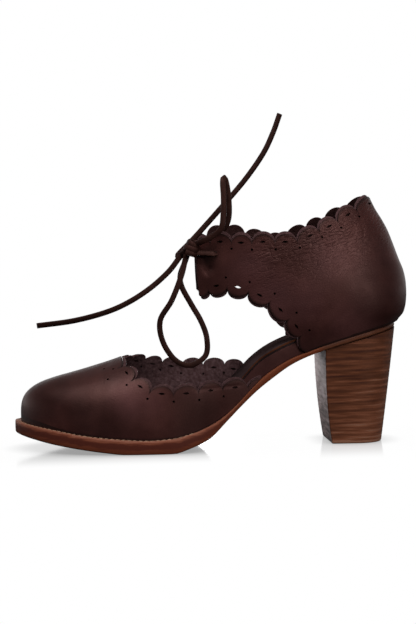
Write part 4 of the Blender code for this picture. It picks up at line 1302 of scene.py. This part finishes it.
def turning(line, facing, twist):
    """Ways the broad side faces along a line, turned by twist degrees from end to end."""
    ways = []
    for k in range(len(line)):
        ahead = (line[min(k + 1, len(line) - 1)] - line[max(k - 1, 0)]).normalized()
        way = Vector(facing)
        way.rotate(Matrix.Rotation(math.radians(twist) * k / (len(line) - 1), 3, ahead))
        ways.append(way)
    return ways


def add_thong(name, route, facing, twist, material):
    """One free stretch of the lace."""
    line = smooth_route(route, THONG_SPACING)
    bm = bmesh.new()
    sweep_thong(bm, line, turning(line, facing, twist))
    piece = add_piece(name + "_thong", finish_mesh(name, bm, [material]), name)
    tuple(placed(line[0]))
    [tuple(placed(p)) for p in line]


def strap_hole(side, outwards):
    """A place in line with a strap's hole for the thong, outwards of the leather by a distance."""
    here = quarter_point(side, quarter_turn(STRAP_HOLE_X, STRAP_HOLE_Z), STRAP_HOLE_Z)
    return here + Vector((0.0, side * outwards, 0.0))


def add_bar(material):
    """The stretch that comes through both straps and carries the knot."""
    route = [strap_hole(LATERAL, BAR_TAIL), strap_hole(LATERAL, BAR_LIFT), *BAR_ROUTE,
             strap_hole(MEDIAL, BAR_LIFT), strap_hole(MEDIAL, BAR_TAIL)]
    line = smooth_route(route, THONG_SPACING)
    bm = bmesh.new()
    sweep_thong(bm, line, [Vector(BAR_FACING) + Vector((0.0, p.y / BAR_TURN, 0.0)) for p in line])
    add_piece("lace_bar_thong", finish_mesh("lace_bar", bm, [material]), "lace_bar")


def add_knot(material):
    """The knot: the thong wound round the strands it holds."""
    start, end = Vector(KNOT_FROM), Vector(KNOT_TO)
    length, way = (end - start).length, (end - start).normalized()
    side = way.cross(Vector((0.0, 1.0, 0.0))).normalized()
    other = way.cross(side)
    bm = bmesh.new()
    for radius, turns, low, high, phase in KNOT_WRAPS:
        line, facings = [], []
        steps = round(TURN_STEPS * turns)
        for k in range(steps + 1):
            share = k / steps
            angle = 2 * math.pi * (turns * share + phase)
            out = side * math.cos(angle) + other * math.sin(angle)
            line.append(start + way * (length * (low + (high - low) * share)) + out * radius)
            facings.append(out)
        sweep_thong(bm, line, facings)
    middle = (start + end) / 2
    for route in (END_UP_ROUTE, END_FORE_ROUTE, LOOP_DOWN_ROUTE, LOOP_UP_ROUTE):
        for tip, inner in ((route[0], route[1]), (route[-1], route[-2])):
            leaving = Vector(tip)
            if (leaving - middle).length > KNOT_REACH:
                continue
            line = smooth_route((middle, leaving * 2 - Vector(inner), leaving), KNOT_SPACING)
            sweep_thong(bm, line, turning(line, (0.0, LATERAL, 0.0), 0.0))
    return add_piece("lace_knot_wraps", finish_mesh("lace_knot", bm, [material]),
                     "lace_knot")


def add_lace():
    """The bar between the straps, the knot on it, two loops and two ends."""
    material = thong_leather()
    add_bar(material)
    knot = add_knot(material)
    outwards = (0.0, LATERAL, 0.0)
    add_thong("lace_end_up", END_UP_ROUTE, outwards, END_TWIST, material)
    add_thong("lace_end_fore", END_FORE_ROUTE, outwards, -END_TWIST, material)
    add_thong("lace_loop_down", LOOP_DOWN_ROUTE, outwards, 0.0, material)
    add_thong("lace_loop_up", LOOP_UP_ROUTE, outwards, 0.0, material)


# Upper

def crease_relief(creases):
    """How far the outer side's creases sink the leather at a point, from their (x, z) lines."""
    lines = []
    for crease, depth, *width in creases:
        line = smooth_route([(x, 0.0, z) for x, z in crease], CREASE_SPACING)
        lines.append((line, depth, width[0] if width else CREASE_WIDTH))

    def relief(point):
        if point.y > 0:
            return 0.0
        sink = 0.0
        for line, depth, width in lines:
            near = min((point.x - p.x) ** 2 + (point.z - p.z) ** 2 for p in line)
            if near < (CREASE_REACH * width) ** 2:
                sink += depth * math.exp(-near / width ** 2)
        return -sink

    return relief


def add_upper(name, columns, cuts):
    """One part of the upper: the outer leather and the lining that shows past its edge.

    Light shows through one slot of each strap and the thong's holes only, so the lining keeps a thin
    web in the other cut-outs.
    """
    leather, lining = upper_leather(name == "quarter"), lining_leather(name)
    relief = crease_relief(CREASES[name])
    rings = wall_rings(columns(LEATHER_MARGIN), 0.0, LEATHER, relief)
    # Cut edges and cut-out walls are painted dark as painted shade
    panel = wall_mesh(name, rings, leather, edge_shade_tone)
    panel = perforated(name + "_leather", panel, cuts, leather, 1.0)
    add_piece(name + "_leather", panel, name)
    rings = wall_rings(columns(0.0), LEATHER + LAYER_GAP, LINING, relief)
    panel = wall_mesh(name, rings, lining, flesh_tone)
    panel = perforated(name + "_lining", panel, [from_both_sides(kind) for kind in cuts], lining, -1.0)
    add_piece(name + "_lining", panel)


def both_vamp_halves(margin):
    """Columns of the whole vamp, from the outer waist round the toe to the inner waist."""
    return list(reversed(vamp_columns(LATERAL, margin))) + vamp_columns(MEDIAL, margin)[1:]


def both_quarter_halves(margin):
    """Columns of the whole quarter, from the outer strap round the heel to the inner strap."""
    return quarter_columns(LATERAL, margin) + list(reversed(quarter_columns(MEDIAL, margin)))[1:]


# Sole, insole and heel

def shares(count):
    """Shares from 0 to 1, closer together at both ends."""
    return [(1 - math.cos(math.pi * k / count)) / 2 for k in range(count + 1)]


def loft(name, loops, materials, strip_material=None, values=None, value_name=None):
    """A closed mesh from loops of points that mirror themselves, ladder caps at both ends."""
    bm = bmesh.new()
    layer = bm.verts.layers.float.new(value_name) if value_name else None
    rows = []
    for k, points in enumerate(loops):
        row = [bm.verts.new(placed(point)) for point in points]
        for j, vert in enumerate(row):
            if layer:
                vert[layer] = values(k, j, points[j])
        rows.append(row)
    count = len(rows[0])
    for k, (before, after) in enumerate(zip(rows, rows[1:])):
        for j in range(count):
            n = (j + 1) % count
            face = bm.faces.new((before[j], before[n], after[n], after[j]))
            face.material_index = strip_material(k, j) if strip_material else 0
    for row in (rows[0], rows[-1]):
        for j in range(count // 2 - 1):
            bm.faces.new((row[j], row[j + 1], row[count - 2 - j], row[count - 1 - j]))
    return finish_mesh(name, bm, materials)


def sole_loop(inset, height):
    """A loop round the sole at an inset, as matching halves from toe to heel and back."""
    tip, end = SOLE_TIP_X + inset, SOLE_END_X - inset
    xs = [tip + (end - tip) * share for share in shares(SOLE_STEPS)]
    near = [(x, outline_y(LATERAL, x, inset), height(x)) for x in xs]
    far = [(x, outline_y(MEDIAL, x, inset), height(x)) for x in reversed(xs)]
    return near + far


def add_outsole():
    """The outsole: a burnished edge with a rounded rim above and below, and a ledge round the upper."""
    def level(from_bottom, share, from_top):
        return lambda x: (sole_bottom(x) + from_bottom
                          + (sole_top(x) - from_top - sole_bottom(x) - from_bottom) * share)

    loops = [sole_loop(inset, level(low, share, high)) for inset, low, share, high, _ in SOLE_PROFILE]
    mesh = loft("outsole", loops, [sole_leather()], None, lambda k, j, point: SOLE_PROFILE[k][4], "rise")
    add_piece("outsole_leather", mesh, "outsole")


def stitch_tree():
    """Lays one stitch after another along a line."""
    tree, given = new_tree("welt_stitches", (("Stitch", "NodeSocketObject"), ("Pitch", "NodeSocketFloat"),
                                             ("Thread", "NodeSocketMaterial")))
    shape = add_node(tree, "GeometryNodeObjectInfo", {"Object": given["Stitch"], "As Instance": True})
    line = add_node(tree, "GeometryNodeMeshToCurve", {"Mesh": given["Geometry"]})
    even = add_node(tree, "GeometryNodeResampleCurve", {"Curve": line.outputs[0], "Length": given["Pitch"]},
                    mode="LENGTH")
    tangent = add_node(tree, "GeometryNodeInputTangent")
    turned = add_node(tree, "FunctionNodeAxesToRotation", {0: tangent.outputs[0], 1: (0.0, 0.0, 1.0)},
                      primary_axis="X", secondary_axis="Z")
    laid = add_node(tree, "GeometryNodeInstanceOnPoints",
                    {"Points": even.outputs[0], "Instance": shape.outputs["Geometry"],
                     "Rotation": turned.outputs[0]})
    solid = add_node(tree, "GeometryNodeRealizeInstances", {"Geometry": laid.outputs[0]})
    done = add_node(tree, "GeometryNodeSetMaterial",
                    {"Geometry": solid.outputs[0], "Material": given["Thread"]})
    add_node(tree, "NodeGroupOutput", {0: done.outputs[0]})
    return tree


def stitch_shape():
    """One stitch along X: a short rounded length of thread, half sunk in the leather."""
    bm = bmesh.new()
    angles = [2 * math.pi * k / STITCH_SIDES for k in range(STITCH_SIDES)]
    rings = []
    for share, swell in STITCH_SWELL:
        x, radius = (share - 0.5) * STITCH_LENGTH * MM, STITCH_RADIUS * swell * MM
        rings.append([bm.verts.new((x, math.cos(a) * radius, math.sin(a) * radius)) for a in angles])
    skin(bm, rings)
    stitch = shape_object("stitch", bm)
    stitch.data.shade_smooth()
    return stitch


def add_welt_stitches():
    """Stitches on the ledge, from the outer waist round the toe to the inner waist."""
    halves = {}
    for side in (LATERAL, MEDIAL):
        points = []
        for k in range(WELT_STEPS + 1):
            reach = 1 - math.cos(math.pi / 2 * k / WELT_STEPS)
            inset = ledge(SOLE_TIP_X) * WELT_LINE
            x = SOLE_TIP_X + inset + (WELT_END_X - SOLE_TIP_X - inset) * reach
            inset = ledge(x) * WELT_LINE
            x = max(x, SOLE_TIP_X + inset)
            points.append((x, outline_y(side, x, inset), sole_top(x) + STITCH_RADIUS * STITCH_PROUD))
        halves[side] = points
    points = [placed(p) for p in list(reversed(halves[LATERAL])) + halves[MEDIAL][1:]]
    mesh = bpy.data.meshes.new("welt_line")
    mesh.from_pydata(points, [(k, k + 1) for k in range(len(points) - 1)], [])
    stitch = stitch_shape()
    values = {"Stitch": stitch, "Pitch": STITCH_PITCH * MM, "Thread": linen_thread()}
    made = run_tree(mesh, stitch_tree(), values, "welt_stitches")
    bpy.data.objects.remove(stitch)
    add_piece("welt_stitches", made)


def insole_inset(x):
    """How far the insole's edge lies inside the sole's: within the vamp, then flush at the open waist."""
    inside_wall = ledge(x) + WALL + 2 * GAP
    share = min(1.0, max(0.0, (x - FLARE_START_X) / (FLARE_END_X - FLARE_START_X)))
    return inside_wall + (WAIST_INSET - inside_wall) * share


def insole_edge_y(side, x, low, high):
    """Y of the insole's edge, which stays inside both parts of the upper."""
    y = outline_y(side, x, insole_inset(x))
    if x > COUNTER_START_X:
        clearance = WALL + 2 * GAP
        room = min(quarter_inside_y(x, low, clearance), quarter_inside_y(x, high, clearance))
        y = side * min(abs(y), room)
    return y


def insole_rings(profile):
    """Rings across the insole from toe to heel; the profile gives each corner's inset and its height
    below the sock's top, where None is the bottom."""
    tip = SOLE_TIP_X + insole_inset(SOLE_TIP_X)
    end = min(back_x(sole_top(SOLE_END_X) + GAP) - WALL - 2 * GAP, SOLE_END_X - insole_inset(SOLE_END_X))
    rings = []
    for x in [tip + (end - tip) * share for share in shares(SOLE_STEPS)]:
        low = sole_top(x) + GAP
        high = low + insole_depth(x)
        left, right = insole_edge_y(LATERAL, x, low, high), insole_edge_y(MEDIAL, x, low, high)
        if x in (tip, end):
            left = right = (left + right) / 2
        half = (right - left) / 2
        corners = [(min(inset, half), low if drop is None else high - drop) for inset, drop in profile]
        rings.append([(x, left + inset, z) for inset, z in corners]
                     + [(x, right - inset, z) for inset, z in reversed(corners)])
    return rings


def add_insole():
    """The rib wrapped in leather that shows at the open waist, and the sock glued on it."""
    cover = soft_leather("wrapped_rib_leather", RIB_BROWNS, grain_mm=0.9, roughness=0.6, gloss=0.12)
    rib = loft("insole_rib", insole_rings(RIB_PROFILE), [cover])
    add_piece("insole_rib", rib, "insole")
    top = soft_leather("sock_sheepskin", SOCK_GREYS, grain_mm=0.8, roughness=0.8, gloss=0.0)
    edge = soft_leather("raw_cut_edge", EDGE_TANS, grain_mm=0.6, roughness=0.6, gloss=0.0)
    corners = len(SOCK_PROFILE)

    def strip(k, j):
        return 1 if min(j, 2 * corners - 2 - j) == SOCK_EDGE else 0

    sock = loft("insole_sock", insole_rings(SOCK_PROFILE), [top, edge], strip)
    add_piece("insole_sock", sock)


def heel_outline(breast, back, half_width, side_x):
    """Plan of the heel block: a flat breast with eased corners, straight sides, round back."""
    power = 2.0 / HEEL_SQUARENESS
    corner = Vector((breast, -half_width * BREAST_SHARE))
    side = Vector((side_x, -half_width))
    near = [(breast, corner.y * share) for share in BREAST_STOPS] + [(breast, corner.y + CORNER)]
    first = corner + (side - corner).normalized() * CORNER
    near += [tuple(first.lerp(side, k / SIDE_STEPS)) for k in range(SIDE_STEPS)]
    for k in range(BACK_STEPS + 1):
        angle = math.pi / 2 * (1 - k / BACK_STEPS)
        along, out = math.cos(angle) ** power, math.sin(angle) ** power
        near.append((side_x + (back - side_x) * along, -half_width * out))
    return near + [(x, -y) for x, y in reversed(near)]


def lift_line(x, z):
    """Height in the stack at a point, with the lifts' slight tilt taken out."""
    return z - LIFT_TILT * (x - HEEL_SIDE_X)


def lift_tone(x, z):
    """How light the stack is at a point: a light line at each joint, and a pale rim at the bottom."""
    height = lift_line(x, z)
    joints = sum(math.exp(-((height - line) / JOINT_HALF) ** 2) for line in LIFT_LINES)
    return RIM_TONE if z < TOP_PIECE_RIM else min(LIFT_TONE + JOINT_TONE * joints, 1.0)


def lift_groove(x, z):
    """How deep the joint between two lifts is sunk at a point."""
    height = lift_line(x, z) + GROOVE_DROP
    return LIFT_GROOVE * sum(math.exp(-((height - line) / GROOVE_HALF) ** 2) for line in LIFT_LINES)


def add_heel():
    """The stack of lifts under the seat, with a flap of leather glued down its breast."""
    middle = (heel_breast(0.0) + heel_back(0.0)) / 2
    loops = []
    for k in range(HEEL_RINGS + 1):
        share = k / HEEL_RINGS
        side_x = HEEL_SIDE_X * share + middle * (1 - share)
        ease = HEEL_EASE * max(0.0, 1 - k / 2)
        outline = heel_outline(heel_breast(share) + ease, heel_back(share) - ease,
                               heel_half_width(share) - ease, side_x)
        loop = []
        for x, y in outline:
            z = share * (sole_bottom(x) - GAP)
            inwards = Vector((side_x - x, -y)).normalized() * lift_groove(x, z)
            loop.append((x + inwards.x, y + inwards.y, z))
        loops.append(loop)
    count = len(loops[0])

    def strip(k, j):
        return 1 if j < len(BREAST_STOPS) or j >= count - len(BREAST_STOPS) - 1 else 0

    mesh = loft("heel", loops, [stacked_leather(), flap_leather()], strip,
                lambda k, j, point: lift_tone(point[0], point[2]), "tone")
    add_piece("heel_lifts", mesh, "heel")


# Stage

def add_camera():
    """A camera where the photograph was taken from."""
    data = bpy.data.cameras.new("camera")
    data.sensor_width = SENSOR_MM
    data.lens = FOCAL_PX / FRAME_HEIGHT * SENSOR_MM
    camera = bpy.data.objects.new("camera", data)
    forward = Vector((math.sin(CAMERA_YAW), math.cos(CAMERA_YAW), 0.0))
    ahead = forward * math.cos(CAMERA_DROP) - Vector((0.0, 0.0, math.sin(CAMERA_DROP)))
    level = Vector((math.cos(CAMERA_YAW), -math.sin(CAMERA_YAW), 0.0))
    upright = level.cross(ahead)
    right = level * math.cos(CAMERA_ROLL) + upright * math.sin(CAMERA_ROLL)
    up = upright * math.cos(CAMERA_ROLL) - level * math.sin(CAMERA_ROLL)
    turned = Matrix((right, up, -ahead)).transposed().to_4x4()
    camera.matrix_world = Matrix.Translation(placed(CAMERA_AT)) @ turned
    bpy.context.scene.collection.objects.link(camera)
    bpy.context.scene.camera = camera


def add_floor():
    """A white acrylic table: it glows, is shaded close under the shoe, and mirrors a little of it."""
    bm = bmesh.new()
    bmesh.ops.create_grid(bm, x_segments=1, y_segments=1, size=FLOOR_HALF)
    mesh = bpy.data.meshes.new("floor")
    bm.to_mesh(mesh)
    bm.free()
    material, tree, shader, here = start_material("white_acrylic", Base_Color=linear(WHITE), Metallic=1.0,
                                                  Roughness=FLOOR_ROUGHNESS)
    place = add_node(tree, "ShaderNodeSeparateXYZ", {0: here})
    along = add_node(tree, "ShaderNodeMapRange",
                     {"Value": place.outputs["X"], "From Min": 0.0, "From Max": MIRROR_BLEND * MM,
                      "To Min": MIRROR, "To Max": MIRROR_HEEL})
    mirrored = along.outputs["Result"]
    for axis, (low, high) in (("X", MIRROR_X), ("Y", MIRROR_Y)):
        away = add_node(tree, "ShaderNodeMath", {0: place.outputs[axis]}, operation="ABSOLUTE")
        near = add_node(tree, "ShaderNodeMapRange",
                        {"Value": away.outputs[0], "From Min": low * MM, "From Max": high * MM,
                         "To Min": 1.0, "To Max": 0.0}, interpolation_type="SMOOTHSTEP")
        less = add_node(tree, "ShaderNodeMath", {0: mirrored, 1: near.outputs["Result"]},
                        operation="MULTIPLY")
        mirrored = less.outputs[0]
    shade = add_node(tree, "ShaderNodeAmbientOcclusion", {"Distance": SHADE_REACH * MM})
    light = add_node(tree, "ShaderNodeMapRange",
                     {"Value": shade.outputs["AO"], "From Min": SHADE_RANGE[0], "From Max": SHADE_RANGE[1],
                      "To Min": SHADE_DARKEST})
    glow = add_node(tree, "ShaderNodeEmission",
                    {"Color": linear(WHITE), "Strength": light.outputs["Result"]})
    both = add_node(tree, "ShaderNodeMixShader", {0: mirrored, 1: glow.outputs[0], 2: shader.outputs[0]})
    tree.links.new(both.outputs[0], tree.nodes["Material Output"].inputs["Surface"])
    mesh.materials.append(material)
    floor = bpy.data.objects.new("floor", mesh)
    floor.visible_diffuse = False
    floor.visible_glossy = False
    bpy.context.scene.collection.objects.link(floor)


def add_world():
    """A white studio: bright walls at the horizon, darker above and below them and on the near side."""
    world = bpy.data.worlds.new("studio")
    bpy.context.scene.world = world
    world.use_nodes = True
    tree = world.node_tree
    around = add_node(tree, "ShaderNodeTexCoord").outputs["Generated"]
    way = add_node(tree, "ShaderNodeSeparateXYZ", {0: around})
    height = add_node(tree, "ShaderNodeMapRange", {"Value": way.outputs["Z"], "From Min": -1.0})
    room = add_node(tree, "ShaderNodeValToRGB", {"Fac": height.outputs["Result"]}, stops=ROOM_GREYS)
    side = add_node(tree, "ShaderNodeMapRange",
                    {"Value": way.outputs["Y"], "From Min": ROOM_TURN[0], "From Max": ROOM_TURN[1],
                     "To Min": ROOM_FRONT, "To Max": 1.0})
    shaded = add_node(tree, "ShaderNodeMath", {0: room.outputs["Color"], 1: side.outputs["Result"]},
                      operation="MULTIPLY")
    seen = add_node(tree, "ShaderNodeLightPath")
    strength = add_node(tree, "ShaderNodeMath", {0: shaded.outputs[0], 1: seen.outputs["Is Camera Ray"]},
                        operation="MAXIMUM")
    tree.links.new(strength.outputs[0], tree.nodes["Background"].inputs["Strength"])
    tree.nodes["Background"].inputs["Color"].default_value = linear(WHITE)


def add_lights():
    """Softboxes: one overhead, one beside the camera, and a small card that lights the heel's breast."""
    for name, place, aim, size, energy in SOFTBOXES:
        data = bpy.data.lights.new(name, "AREA")
        data.energy = energy
        data.shape = "RECTANGLE"
        data.size, data.size_y = size
        light = bpy.data.objects.new(name, data)
        light.visible_camera = False
        turned = (Vector(aim) - Vector(place)).to_track_quat("-Z", "Y").to_matrix().to_4x4()
        light.matrix_world = Matrix.Translation(Vector(place)) @ turned
        bpy.context.scene.collection.objects.link(light)
    bpy.context.scene.view_settings.view_transform = "Standard"


add_camera()
add_lace()
add_upper("vamp", both_vamp_halves, vamp_cuts())
add_upper("quarter", both_quarter_halves, quarter_cuts())
add_outsole()
add_welt_stitches()
add_insole()
add_heel()
add_floor()
add_world()
add_lights()
